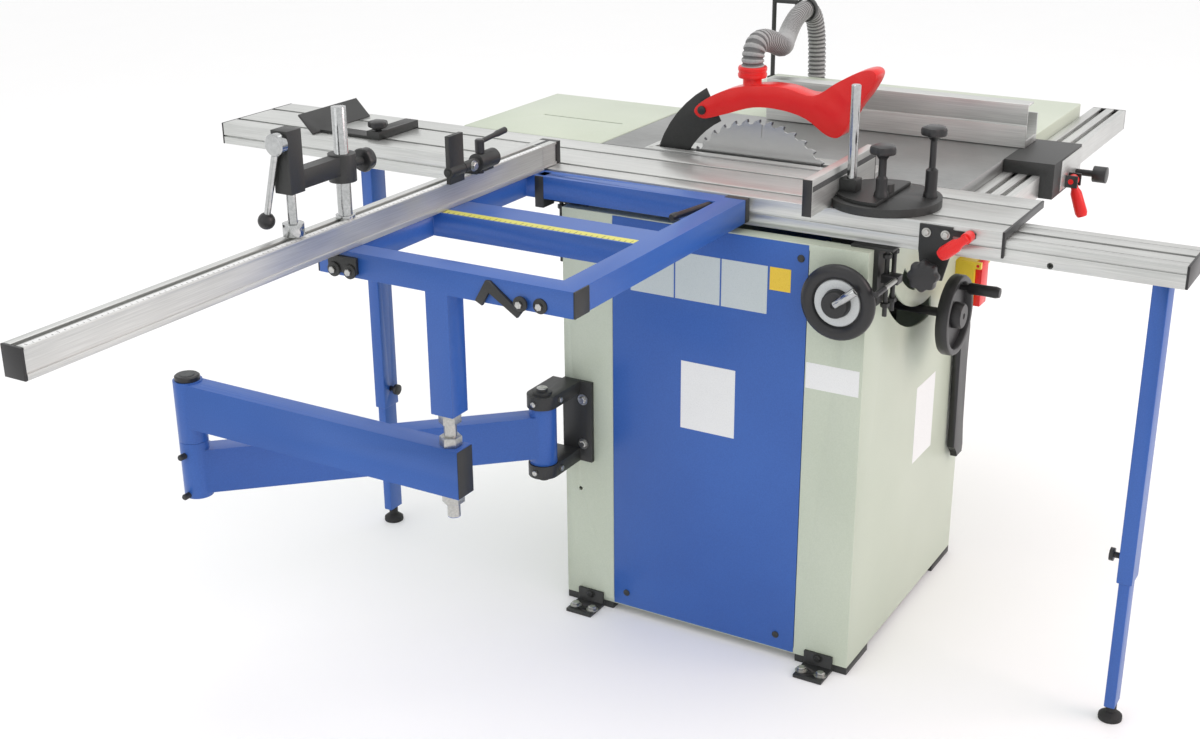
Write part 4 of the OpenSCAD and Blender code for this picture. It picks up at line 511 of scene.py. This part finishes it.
shader.inputs["Roughness"].default_value = 0.26
wear("saw_blade", ground, 0)
wear("arbor_shaft", steel, 0.0006)
wear("tilt_cradle", cast, 0.001)
wear("arbor_housing", cast, 0.001)
wear("motor", motor_grey, 0.0006)
wear("motor_pulley", steel, 0.0008)
wear("drive_belt", rubber, 0.0008)
wear("riving_knife", black, 0.0003)
wear("blade_guard", red, 0.0022, 40)
teeth, tip_w, tip_l, tip_t = 40, 0.0036, 0.0055, 0.0022
bm = bmesh.new()
for i in range(teeth):
    turn = Matrix.Rotation(2 * math.pi * i / teeth, 4, "X")
    for v in bmesh.ops.create_cube(bm, size=1)["verts"]:
        spot = Vector((v.co.x * tip_w, blade_r - 0.003 + v.co.y * tip_l, v.co.z * tip_t + 0.0009))
        v.co = blade_mid + turn @ spot
place_mesh("carbide_tips", bm, carbide, "blade")
guard_pivot, guard_half = Vector((blade_mid.x, 0.150, 0.915)), 0.021
head = [(0, 0), (0.008, 0), (0.008, 0.003), (0.006, 0.0042), (0, 0.0042)]
bm = bmesh.new()
for s in (-1, 1):
    turned(bm, head, guard_pivot + Vector((s * guard_half, 0, 0)), (s, 0, 0), 20)
place_mesh("guard_pivot_heads", bm, plastic, "guard")

# Handwheels. Black wheels with deep rounded rims; the tilt wheel has a pale dial and a chrome crank, and the
# height wheel a turning grip.
chrome = surface(
    "chrome", (0.40, 0.41, 0.41), (0.56, 0.57, 0.57), 0.15, 1.0, scale=200, bump=0.005, span=0.03
)
silver = surface("dial silver", (0.52, 0.54, 0.54), (0.64, 0.66, 0.65), 0.40, 0.2, scale=500, bump=0.01)
tilt_centre = Vector((-0.294, -0.253, 0.702))
round_r, round_w, round_h = 0.0515, 0.0125, 0.011
rim_turns = [a * math.pi / 10 for a in range(21)]
rim = [(round_r + round_w * math.cos(a), round_h + round_h * math.sin(a)) for a in rim_turns]
web = [(0, 0.0055), (0.020, 0.0055), (0.024, 0.007), (0.042, 0.007), (0.042, 0.0145), (0.024, 0.0145)]
hub = [(0.022, 0.0285), (0.0205, 0.030), (0.006, 0.030), (0.004, 0.0275), (0, 0.0275)]
shaft = [(0, -0.112), (0.007, -0.112), (0.007, 0.006)]
dial = [(0.0235, 0.0145), (0.0245, 0.0156), (0.0385, 0.0156), (0.0395, 0.0145)]
bm = bmesh.new()
turned(bm, rim, tilt_centre, (-1, 0, 0), 48)
turned(bm, web + hub, tilt_centre, (-1, 0, 0), 48)
turned(bm, shaft, tilt_centre, (-1, 0, 0), 24)
place_mesh("tilt_handwheel", bm, plastic, "tilt_wheel", ["tilt_wheel"], 45)
bm = bmesh.new()
turned(bm, dial, tilt_centre, (-1, 0, 0), 48)
place_mesh("tilt_dial", bm, silver, "tilt_wheel")
wear("tilt_handle", chrome, 0.002)
raise_centre = Vector((0.008, -0.334, 0.601))
rim = [(0.058, 0.004), (0.064, 0.001), (0.070, 0.002), (0.072, 0.005), (0.072, 0.019), (0.070, 0.023)]
rim += [(0.066, 0.024), (0.061, 0.023), (0.059, 0.020), (0.058, 0.004)]
web = [(0, 0.004), (0.020, 0.004), (0.024, 0.006), (0.0585, 0.006), (0.0585, 0.012), (0.024, 0.0125)]
grip_turn, grip_at = math.radians(60), 0.0507
grip_centre = raise_centre + grip_at * Vector((math.cos(grip_turn), 0, math.sin(grip_turn)))
grip = [(0.005, 0.010), (0.005, 0.026), (0.009, 0.027), (0.0105, 0.030), (0.0098, 0.055), (0.0105, 0.076)]
grip += [(0.0085, 0.083), (0, 0.084)]
shaft = [(0, -0.131), (0.008, -0.131), (0.008, 0.006)]
bm = bmesh.new()
turned(bm, rim, raise_centre, (0, -1, 0), 48)
turned(bm, web + hub, raise_centre, (0, -1, 0), 48)
turned(bm, shaft, raise_centre, (0, -1, 0), 24)
turned(bm, grip, grip_centre, (0, -1, 0), 24)
place_mesh("height_handwheel", bm, plastic, "raise_wheel", ["raise_wheel"], 45)

# Sliding table and its lock. Brushed alloy along the feed with black end caps, a black lock plate with two
# bolts, a red grip and a lobed knob, and the black edging shoe near the far end.
wear("sliding_table", alloy_y, 0.0006)
wear("lock_plate", black, 0.0006)
wear("edging_shoe", black, 0.0008)
slide_low, slide_high = corners("sliding_table")
slab_t, skirt_t = 0.012, 0.006
skirt_x, slab_z = slide_low.x + skirt_t, slide_high.z - slab_t
outline = [
    (slide_low.x, slide_low.z), (skirt_x, slide_low.z), (skirt_x, slab_z),
    (slide_high.x, slab_z), (slide_high.x, slide_high.z), (slide_low.x, slide_high.z),
]
bm = bmesh.new()
for y in (slide_low.y - cap_t, slide_high.y):
    prism(bm, outline, "y", y, y + cap_t, 0.0006)
place_mesh("sliding_table_caps", bm, plastic, "carriage")


def draw_out(bm, face, way):
    """Extrudes a face along a way; gives the new end face and its corners."""
    made = bmesh.ops.extrude_face_region(bm, geom=[face])["geom"]
    verts = [g for g in made if isinstance(g, bmesh.types.BMVert)]
    bmesh.ops.translate(bm, verts=verts, vec=way)
    return next(g for g in made if isinstance(g, bmesh.types.BMFace)), verts


def lobed(bm, centre, axis, r, h, lobes=6):
    """A hand knob with lobes round its rim, standing on centre along the axis."""
    axis = Vector(axis).normalized()
    u = axis.orthogonal().normalized()
    v = axis.cross(u)
    levels = ((0.72, 0.0), (0.94, 0.12), (1.0, 0.3), (1.0, 0.7), (0.94, 0.88), (0.70, 1.0))
    foot, wave = Vector(centre), 0.07
    ring = []
    for k in range(lobes * 8):
        a = 2 * math.pi * k / (lobes * 8)
        rad = r * levels[0][0] * (1 - wave + wave * math.cos(a * lobes))
        ring.append(bm.verts.new(foot + rad * (math.cos(a) * u + math.sin(a) * v)))
    face = bm.faces.new(ring)
    for (share, height), (next_share, next_height) in zip(levels, levels[1:]):
        under = face
        face, verts = draw_out(bm, under, axis * h * (next_height - height))
        grow = Vector((1, 1, 1)) * next_share / share
        middle = Matrix.Translation(-(foot + axis * h * next_height))
        bmesh.ops.scale(bm, vec=grow, space=middle, verts=verts)
        if height:
            bmesh.ops.delete(bm, geom=[under], context="FACES_ONLY")


knob_foot = Vector((-0.258, -0.380, 0.757))
bm = bmesh.new()
lobed(bm, knob_foot, (-1, 0, 0), 0.026, 0.024, 8)
turned(bm, [(0, -0.002), (0.005, -0.002), (0.005, 0.022), (0, 0.022)], knob_foot, (1, 0, 0), 16)
place_mesh("lock_knob_lobed", bm, plastic, "lock_knob", ["lock_knob"])
lever_pivot = Vector((-0.2405, -0.440, 0.823))
lean = math.radians(220)
way = Vector((0, -math.cos(lean), math.sin(lean)))
grip = [(0, -0.006), (0.006, -0.005), (0.0075, 0.010), (0.0108, 0.018), (0.0115, 0.042), (0.009, 0.049)]
grip += [(0, 0.0505)]
bm = bmesh.new()
turned(bm, grip, lever_pivot + Vector((-0.0215, 0, 0)), way, 20)
boss = [(0, 0.0), (0.009, 0.0), (0.009, 0.0195), (0.0075, 0.021), (0, 0.021)]
turned(bm, boss, lever_pivot, (-1, 0, 0), 20)
place_mesh("lock_lever_grip", bm, red, "lock_lever", ["lock_lever"])
lock_bolt_x, lock_bolt_z, lock_bolt_places = lever_pivot.x + 0.0005, 0.819, (-0.401, -0.370)
bm = bmesh.new()
for y in lock_bolt_places:
    bolt(bm, (lock_bolt_x, y, lock_bolt_z), (-1, 0, 0), 0.005, 0.005, 1.5)
place_mesh("lock_bolts", bm, zinc, "carriage")
bm = bmesh.new()
bolt(bm, lever_pivot + Vector((-0.021, 0, 0)), (-1, 0, 0), 0.005, 0.004, 0)
place_mesh("lock_lever_bolt", bm, black, "lock_lever")
stem_low, stem_high = corners("shoe_knob")
stem = Vector(((stem_low.x + stem_high.x) / 2, (stem_low.y + stem_high.y) / 2, stem_low.z))
shoe_knob_h, stem_r, into_knob = 0.014, 0.006, 0.001
stem_h = stem_high.z - stem_low.z - shoe_knob_h
stem_line = [(0, 0), (stem_r, 0), (stem_r, stem_h + into_knob), (0, stem_h + into_knob)]
bm = bmesh.new()
turned(bm, stem_line, stem, (0, 0, 1), 16)
lobed(bm, stem + Vector((0, 0, stem_h)), (0, 0, 1), 0.020, shoe_knob_h, 5)
place_mesh("shoe_knob_lobed", bm, plastic, "shoe_knob", ["shoe_knob"])

# Outrigger frame and swing arm. Welded blue tube with black end caps, a yellow scale on the middle tube,
# bolted clips and a catch lever, and a zinc stud with nuts under the post.
wear("outrigger_frame", blue, 0.0015)
wear("lower_arm", blue, 0.0015)
wear("upper_arm", blue, 0.0015)
out_low, out_high = corners("outrigger_frame")
tube, frame_cap_t, over = 0.040, 0.003, 0.0004
tube_z = out_high.z - tube
clip_x = out_low.x - 0.006
clip = [
    (0.103, 0.796), (0.084, 0.829), (0.077, 0.829), (0.024, 0.790),
    (0.031, 0.781), (0.079, 0.8125), (0.091, 0.790),
]
strap_low, strap_high = (-0.283, 0.318, 0.776), (-0.246, 0.336, 0.833)
sleeve_end = Vector((out_high.x - 0.0002, out_low.y + tube, out_high.z + over))
sleeve_low = (sleeve_end.x - 0.016, out_low.y - over, tube_z - over)
bm = bmesh.new()
for y in (out_low.y - frame_cap_t, out_high.y):
    block(bm, (out_low.x, y, tube_z), (out_low.x + tube, y + frame_cap_t, out_high.z), 0.001)
prism(bm, clip, "x", clip_x, out_low.x, 0.0005)
block(bm, (clip_x, 0.318, 0.800), (out_low.x, 0.372, 0.826), 0.0008)
block(bm, strap_low, strap_high, 0.0012)
block(bm, sleeve_low, sleeve_end, 0.001)
place_mesh("frame_caps_and_clips", bm, black, "carriage")
catch = Vector((-0.262, out_low.y + tube + 0.008, 0.8255))
catch_way = Vector((-0.116, 0.022, 0)).normalized()
catch_rod = [
    (0, 0), (0.0058, 0), (0.0058, 0.106), (0.0068, 0.108), (0.0068, 0.118), (0.005, 0.121), (0, 0.121)
]
foot_low = (catch.x - 0.020, out_low.y + tube - 0.0005, catch.z - 0.007)
bm = bmesh.new()
turned(bm, catch_rod, catch, catch_way, 16)
block(bm, foot_low, (catch.x, catch.y + 0.003, catch.z + 0.006))
place_mesh("frame_catch_lever", bm, plastic, "carriage")
washer = [(0, -0.001), (0.0115, -0.001), (0.0115, 0.0025), (0.010, 0.0035), (0, 0.0035)]
washer_t, clip_bolt_z = 0.0034, 0.804
clip_bolt_places = ((clip_x, 0.024), (out_low.x, -0.006), (clip_x, 0.330), (clip_x, 0.360))
bm = bmesh.new()
for x, y in clip_bolt_places:
    turned(bm, washer, (x, y, clip_bolt_z), (-1, 0, 0), 20)
place_mesh("frame_washers", bm, black, "carriage")
bm = bmesh.new()
for x, y in clip_bolt_places:
    bolt(bm, (x - washer_t, y, clip_bolt_z), (-1, 0, 0), 0.0055, 0.005, 0)
place_mesh("frame_bolts", bm, zinc, "carriage")
tape_yellow = surface("scale tape", (0.60, 0.57, 0.09), (0.70, 0.67, 0.14), 0.4, scale=500, bump=0.01)
tape_x, tape_w, tape_y, tape_end = -0.556, 0.018, -0.018, 0.352
tape_z = out_high.z + 0.0001
bm = bmesh.new()
block(bm, (tape_x, tape_y, out_high.z - 0.0002), (tape_x + tape_w, tape_end, tape_z), 0)
place_mesh("scale_tape", bm, tape_yellow, "carriage")
mark_step, mark_w, mark_z, tape_marks = 0.010, 0.0005, tape_z - 0.0001, 37
bm = bmesh.new()
for i in range(tape_marks):
    y, mark_l = tape_y + 0.006 + mark_step * i, 0.012 if i % 5 == 0 else 0.007
    block(bm, (tape_x, y - mark_w, mark_z), (tape_x + mark_l, y + mark_w, tape_z + 0.0001), 0)
place_mesh("scale_marks", bm, black, "carriage")
post_x, post_y = out_low.x + tube / 2, 0.176
arm_low, arm_high = corners("upper_arm")
arm_top, arm_under, stud_nut_h = 0.5426, 0.4626, 0.016
arm_half = 0.0195
cap_low = (post_x - arm_half, arm_low.y - 0.0015, arm_under + 0.001)
bm = bmesh.new()
block(bm, cap_low, (post_x + arm_half, arm_low.y + 0.0005, arm_top - 0.001))
place_mesh("arm_cap", bm, black, "upper_arm")
stud_r, nut_r = 0.0102, 0.0176
stud_h = arm_high.z - arm_low.z
bm = bmesh.new()
stud = [(0, 0), (stud_r, 0.001), (stud_r, stud_h - 0.001), (0, stud_h)]
turned(bm, stud, (post_x, post_y, arm_low.z), (0, 0, 1), 24)
turns = [math.pi * k / 3 for k in range(6)]
nut = [(post_x + nut_r * math.cos(a), post_y + nut_r * math.sin(a)) for a in turns]
for z in (arm_top - 0.0002, arm_under - stud_nut_h - 0.0002, out_low.z - 0.0007 - stud_nut_h):
    prism(bm, nut, "z", z, z + stud_nut_h + 0.0004, 0.0012)
place_mesh("arm_stud", bm, zinc, "upper_arm")
elbow_y, barrel_r, elbow_screw_places = 0.722, 0.025, (0.338, 0.412)
elbow_top = corners("lower_arm")[1].z
cap = [(0, 0), (0.0215, 0), (0.0215, 0.007), (0.019, 0.009), (0, 0.009)]
pin_end = [(0, 0), (0.0135, 0), (0.0125, 0.0012), (0, 0.0012)]
screw = [(0, -0.002), (0.0055, -0.002), (0.0055, 0.011), (0.004, 0.013), (0, 0.013)]
bm = bmesh.new()
turned(bm, cap, (post_x, elbow_y, elbow_top - 0.010), (0, 0, 1), 32)
place_mesh("elbow_cap", bm, plastic, "lower_arm")
bm = bmesh.new()
turned(bm, pin_end, (post_x, elbow_y, elbow_top - 0.0009), (0, 0, 1), 24)
place_mesh("elbow_pin_end", bm, cast, "lower_arm")
bm = bmesh.new()
for z in elbow_screw_places:
    for s in (-1, 1):
        turned(bm, screw, (post_x + s * barrel_r, elbow_y, z), (s, 0, 0), 12)
place_mesh("elbow_screws", bm, black, "lower_arm")

# Crosscut fence, flip stop and clamp. A long alloy bar with a black end cap and scale, a black barrel with
# its stop plate and lever, and a chrome post with a cast clamp.
wear("crosscut_fence", alloy_x, 0.0006)
wear("stop_block", black, 0.001)
wear("flip_stop", black, 0.001)
wear("clamp_post", chrome, 0.0008)
wear("clamp_arm", black, 0.0035)
wear("clamp_spindle", chrome, 0.001)
bar_low, bar_high = corners("crosscut_fence")
bar_under = 0.8333
outline = [(bar_low.y, bar_under), (bar_high.y, bar_under), (bar_high.y, bar_high.z), (bar_low.y, bar_high.z)]
fence_end, over_table, cap_long, outer_cap_t = -0.204, table_z + 0.0015, 0.014, 0.005
proud, lip, dish = 0.0003, 0.004, 0.002
near, far, crown = bar_low.y - proud, bar_high.y + proud, bar_high.z + proud
end_face = [(near, over_table), (far, over_table), (far, crown), (near, crown)]
dish_y, dish_top, dish_foot = near + dish, crown - lip, bar_under + 2 * lip
dished = [(near, dish_top), (dish_y, dish_top), (dish_y, dish_foot), (near, dish_foot)]
bm = bmesh.new()
prism(bm, outline, "x", bar_low.x - outer_cap_t, bar_low.x, 0.0012)
prism(bm, end_face, "x", fence_end, fence_end + cap_long, 0.0012)
place_mesh("fence_caps", bm, plastic, "crosscut")
bm = bmesh.new()
prism(bm, end_face + dished, "x", bar_high.x - 0.0012, fence_end, 0)
place_mesh("fence_inner_end", bm, alloy_x, "crosscut")
# A dark flat strip on top of the inner end carries on the bar's slot: painted shade in place of a cut.
slot_y, slot_half = (bar_low.y + bar_high.y) / 2, 0.004
bm = bmesh.new()
block(
    bm, (bar_high.x, slot_y - slot_half, crown - 0.0002),
    (fence_end, slot_y + slot_half, crown + 0.0001), 0
)
place_mesh("fence_end_slot_painted_shade", bm, cast, "crosscut")
scale_y, scale_w, mark_w, fence_marks = bar_low.y + 0.0025, 0.0075, 0.0004, 120
scale_low = (bar_low.x + 0.003, scale_y, bar_high.z - 0.0001)
bm = bmesh.new()
block(bm, scale_low, (fence_end - 0.003, scale_y + scale_w, bar_high.z + 0.0002), 0)
place_mesh("fence_scale", bm, label_white, "crosscut")
bm = bmesh.new()
for i in range(fence_marks):
    x, mark_l = bar_low.x + 0.008 + mark_step * i, 0.006 if i % 5 == 0 else 0.0035
    block(
        bm, (x - mark_w, scale_y, bar_high.z + 0.0001),
        (x + mark_w, scale_y + mark_l, bar_high.z + 0.0003), 0
    )
place_mesh("fence_marks", bm, black, "crosscut")
handle_low, handle_high = corners("stop_lever")
handle = Vector((handle_low.x + 0.008, (handle_low.y + handle_high.y) / 2, handle_low.z))
handle_post, handle_up = 0.035, math.radians(4)
post = [(0, 0), (0.0058, 0), (0.0058, handle_post), (0.008, handle_post), (0.008, 0.055), (0.0065, 0.057)]
post += [(0, 0.057)]
grip = [(0, 0), (0.0042, 0), (0.0042, 0.045), (0.0055, 0.052), (0.0055, 0.076), (0.004, 0.078), (0, 0.078)]
grip_from = handle + Vector((0, 0, 0.052))
grip_way = (math.cos(handle_up), 0, math.sin(handle_up))
stop_bolt_at = (-0.485, 0.3225, 0.8966)
bm = bmesh.new()
turned(bm, post, handle, (0, 0, 1), 20)
turned(bm, grip, grip_from, grip_way, 16)
place_mesh("stop_lever_bent", bm, plastic, "stop_lever", ["stop_lever"])
bm = bmesh.new()
bolt(bm, stop_bolt_at, (0, -1, 0), 0.0065, 0.006, 1.35)
place_mesh("stop_bolt", bm, zinc, "stop_block")
pivot = Vector((-0.9143, 0.357, 1.0183))
lever_turn = math.radians(15)
way = Vector((0, math.sin(lever_turn), -math.cos(lever_turn)))
rod = [(0, -0.006), (0.0065, -0.005), (0.0056, 0.012), (0.0048, 0.112), (0, 0.112)]
cam = [(0, -0.008), (0.0145, -0.008), (0.0165, -0.006), (0.0165, 0.0055), (0.009, 0.0055), (0.009, 0.036)]
cam += [(0, 0.036)]
bm = bmesh.new()
turned(bm, rod, pivot, way, 20)
turned(bm, cam, pivot, (1, 0, 0), 24)
place_mesh("clamp_lever_rod", bm, chrome, "clamp_lever", ["clamp_lever"])
ball_r, ball_reach, star_knob_at = 0.0128, 0.120, (-0.731, 0.357, 0.9553)
at_ball = Matrix.Translation(pivot + way * ball_reach)
bm = bmesh.new()
bmesh.ops.create_uvsphere(bm, u_segments=24, v_segments=14, radius=ball_r, matrix=at_ball)
place_mesh("clamp_ball", bm, plastic, "clamp_lever")
bm = bmesh.new()
lobed(bm, star_knob_at, (1, 0, 0), 0.0195, 0.0165, 5)
place_mesh("clamp_star_knob", bm, plastic, "clamp_arm")

# Mitre gauge. A round cast base painted black slides in the table's groove and carries a swivelling head with
# a grooved alloy fence and its end caps, a chrome post for a clamp, and two tall moulded knobs. The fence's
# groove is not cut but drawn as a thin dark band of painted shade.
wear("mitre_base", black, 0.002)
disc_low, disc_high = corners("mitre_base")
disc = (disc_low + disc_high) / 2
low, high = corners("mitre_fence")
plate_z, fence_w, fence_h = 0.8493, 0.016, 0.060
hub_side, hub_over = 0.061, 0.0002
outline = [
    (low.x, low.z), (disc.x - hub_side, low.z), (disc.x - hub_side, plate_z + hub_over),
    (disc.x + hub_side, plate_z + hub_over), (disc.x + hub_side, low.z), (high.x, low.z),
    (high.x, low.z + fence_h), (low.x, low.z + fence_h),
]
fence_back = high.y - fence_w
bm = bmesh.new()
prism(bm, outline, "y", fence_back, high.y, 0.0008)
place_mesh("mitre_fence_bar", bm, alloy_x, "mitre_fence", ["mitre_fence"])
# A thin dark band on the fence's back face stands in for its groove: painted shade, not a cut.
groove_out, groove_in = fence_back - 0.0003, fence_back + 0.0004
groove_low, groove_high = low.z + 0.040, low.z + 0.049
groove = [
    (groove_out, groove_low), (groove_in, groove_low), (groove_in, groove_high), (groove_out, groove_high)
]
bm = bmesh.new()
prism(bm, groove, "x", low.x + 0.001, high.x - 0.001, 0)
place_mesh("mitre_fence_slot_painted_shade", bm, cast, "mitre_fence")
head_r, head_t, head_back = 0.080, 0.006, low.y
head_turns = [math.radians(a) for a in range(-10, 191, 5)]
arc = [(disc.x + head_r * math.cos(a), disc.y + head_r * math.sin(a)) for a in head_turns]
arc = [(x, min(max(y, head_back), fence_back)) for x, y in arc]
head = [p for i, p in enumerate(arc) if i == 0 or p != arc[i - 1]]
post_at, post_block = Vector((disc.x - 0.020, disc.y + 0.052, plate_z + head_t)), 0.013
block_to = (post_at.x + post_block, fence_back, plate_z + 0.026)
bm = bmesh.new()
prism(bm, head, "z", plate_z, plate_z + head_t, 0.001)
block(bm, (post_at.x - post_block, post_at.y - post_block, plate_z), block_to, 0.0015)
place_mesh("mitre_head", bm, black, "mitre_fence")
post_h, post_r, post_edge = high.z - post_at.z, 0.008, 0.0015
post = [(post_r, 0), (post_r, post_h - post_edge), (post_r - post_edge, post_h), (0, post_h)]
bm = bmesh.new()
turned(bm, post, post_at, (0, 0, 1), 24)
place_mesh("mitre_post", bm, chrome, "mitre_fence")
for name, sleeve, sleeve_r, rod_r in (("lock", 0.030, 0.0095, 0.0065), ("clamp", 0.044, 0.010, 0.0055)):
    knob = "mitre_" + name + "_knob"
    low_k, high_k = corners(knob)
    at = Vector(((low_k.x + high_k.x) / 2, (low_k.y + high_k.y) / 2, low_k.z))
    foot, tall = (0.006 if name == "lock" else 0.014), high_k.z - low_k.z
    stem = [(0, 0), (0.005, 0), (0.005, foot), (0.0125, foot), (0.0115, foot + 0.006)]
    stem += [(sleeve_r, foot + 0.010), (sleeve_r, foot + sleeve), (rod_r, foot + sleeve + 0.004)]
    stem += [(rod_r, tall - 0.024), (0.012, tall - 0.016)]
    bm = bmesh.new()
    turned(bm, stem + [(0, tall - 0.015)], at, (0, 0, 1), 24)
    lobed(bm, at + Vector((0, 0, tall - 0.016)), (0, 0, 1), 0.022, 0.016, 5)
    place_mesh(knob + "_tall", bm, plastic, knob, [knob])
outline = [(fence_back, low.z), (high.y, low.z), (high.y, low.z + fence_h), (fence_back, low.z + fence_h)]
mitre_cap_t = 0.003
bm = bmesh.new()
prism(bm, outline, "x", low.x - mitre_cap_t, low.x, 0.0008)
prism(bm, outline, "x", high.x, high.x + mitre_cap_t, 0.0008)
place_mesh("mitre_fence_caps", bm, plastic, "mitre_fence")

# Rip fence. A black cast carrier with an alloy face slides on the front rail; the hollow alloy fence lies
# on it, and a red lever clamps it beside a black adjuster.
wear("rip_carrier", black, 0.0012)
wear("rip_fence", alloy_y, 0.0006)
wear("rip_knob", plastic, 0.0015)
carrier_low, carrier_high = corners("rip_carrier")
face_x, face_y, face_t, face_in = (0.262, 0.393), -0.443, 0.0015, 0.004
face_low = (face_x[0], face_y - face_t, carrier_low.z + face_in)
bm = bmesh.new()
block(bm, face_low, (face_x[1], face_y, carrier_high.z - face_in), 0.0005)
place_mesh("carrier_face", bm, alloy_x, "rip_carrier")
rip_pivot, rip_lean = Vector((0.304, -0.455, 0.789)), math.radians(20)
way = Vector((0, -math.sin(rip_lean), -math.cos(rip_lean)))
grip = [(0, 0.004), (0.0065, 0.006), (0.0070, 0.016), (0.0104, 0.024), (0.0114, 0.062), (0.0088, 0.0690)]
grip += [(0, 0.070)]
boss = [(0, -0.0077), (0.010, -0.0077), (0.010, 0.0077), (0, 0.0077)]
pin = [(0, -0.014), (0.005, -0.014), (0.005, 0.014), (0, 0.014)]
bm = bmesh.new()
turned(bm, grip, rip_pivot, way, 20)
turned(bm, boss, rip_pivot, (1, 0, 0), 24)
turned(bm, pin, rip_pivot, (1, 0, 0), 16)
place_mesh("rip_lever_grip", bm, red, "rip_lever", ["rip_lever"])

# Switch and push stick. A moulded yellow box on the cabinet's front with a red flap hinged over its green and
# red buttons, and a black stick that hangs on a peg beside it.
yellow = surface("yellow plastic", (0.72, 0.50, 0.02), (0.82, 0.60, 0.04), 0.4, scale=600, bump=0.04)
green = surface("green plastic", (0.02, 0.22, 0.05), (0.03, 0.32, 0.08), 0.35, scale=600, bump=0.03)
wear("switch_box", yellow, 0.0012)
wear("switch_flap", red, 0.0012)
wear("start_button", green, 0.0008)
wear("stop_button", red, 0.0008)
stick_low, stick_high = corners("push_stick")
outline = [
    (0.197, stick_high.z), (0.233, stick_high.z), (0.243, 0.500), (0.238, 0.430),
    (0.243, 0.300), (0.250, 0.252),
    (0.250, stick_low.z), (0.219, stick_low.z), (0.217, 0.247), (0.197, 0.262),
    (0.193, 0.400), (0.192, 0.500),
]
bm = bmesh.new()
prism(bm, outline, "y", stick_low.y - 0.004, stick_high.y + 0.001, 0.002, 3)
place_mesh("push_stick_shaped", bm, plastic, "push_stick", ["push_stick"])

# Floor. A plain pale sheet far larger than the machine, with a little light of its own so that it runs into
# the white behind it.
floor_half, floor_glow = 14, 0.08
bm = bmesh.new()
bmesh.ops.create_grid(bm, x_segments=1, y_segments=1, size=floor_half)
mesh = bpy.data.meshes.new("floor")
bm.to_mesh(mesh)
bm.free()
sheet = surface("floor", (0.90, 0.90, 0.90), (0.906, 0.906, 0.906), 0.7, scale=4, bump=0.0, span=0.02)
sheet.node_tree.nodes["Principled BSDF"].inputs["Emission Color"].default_value = (1.0, 1.0, 1.0, 1)
sheet.node_tree.nodes["Principled BSDF"].inputs["Emission Strength"].default_value = floor_glow
mesh.materials.append(sheet)
floor = bpy.data.objects.new("floor", mesh)
scene.collection.objects.link(floor)
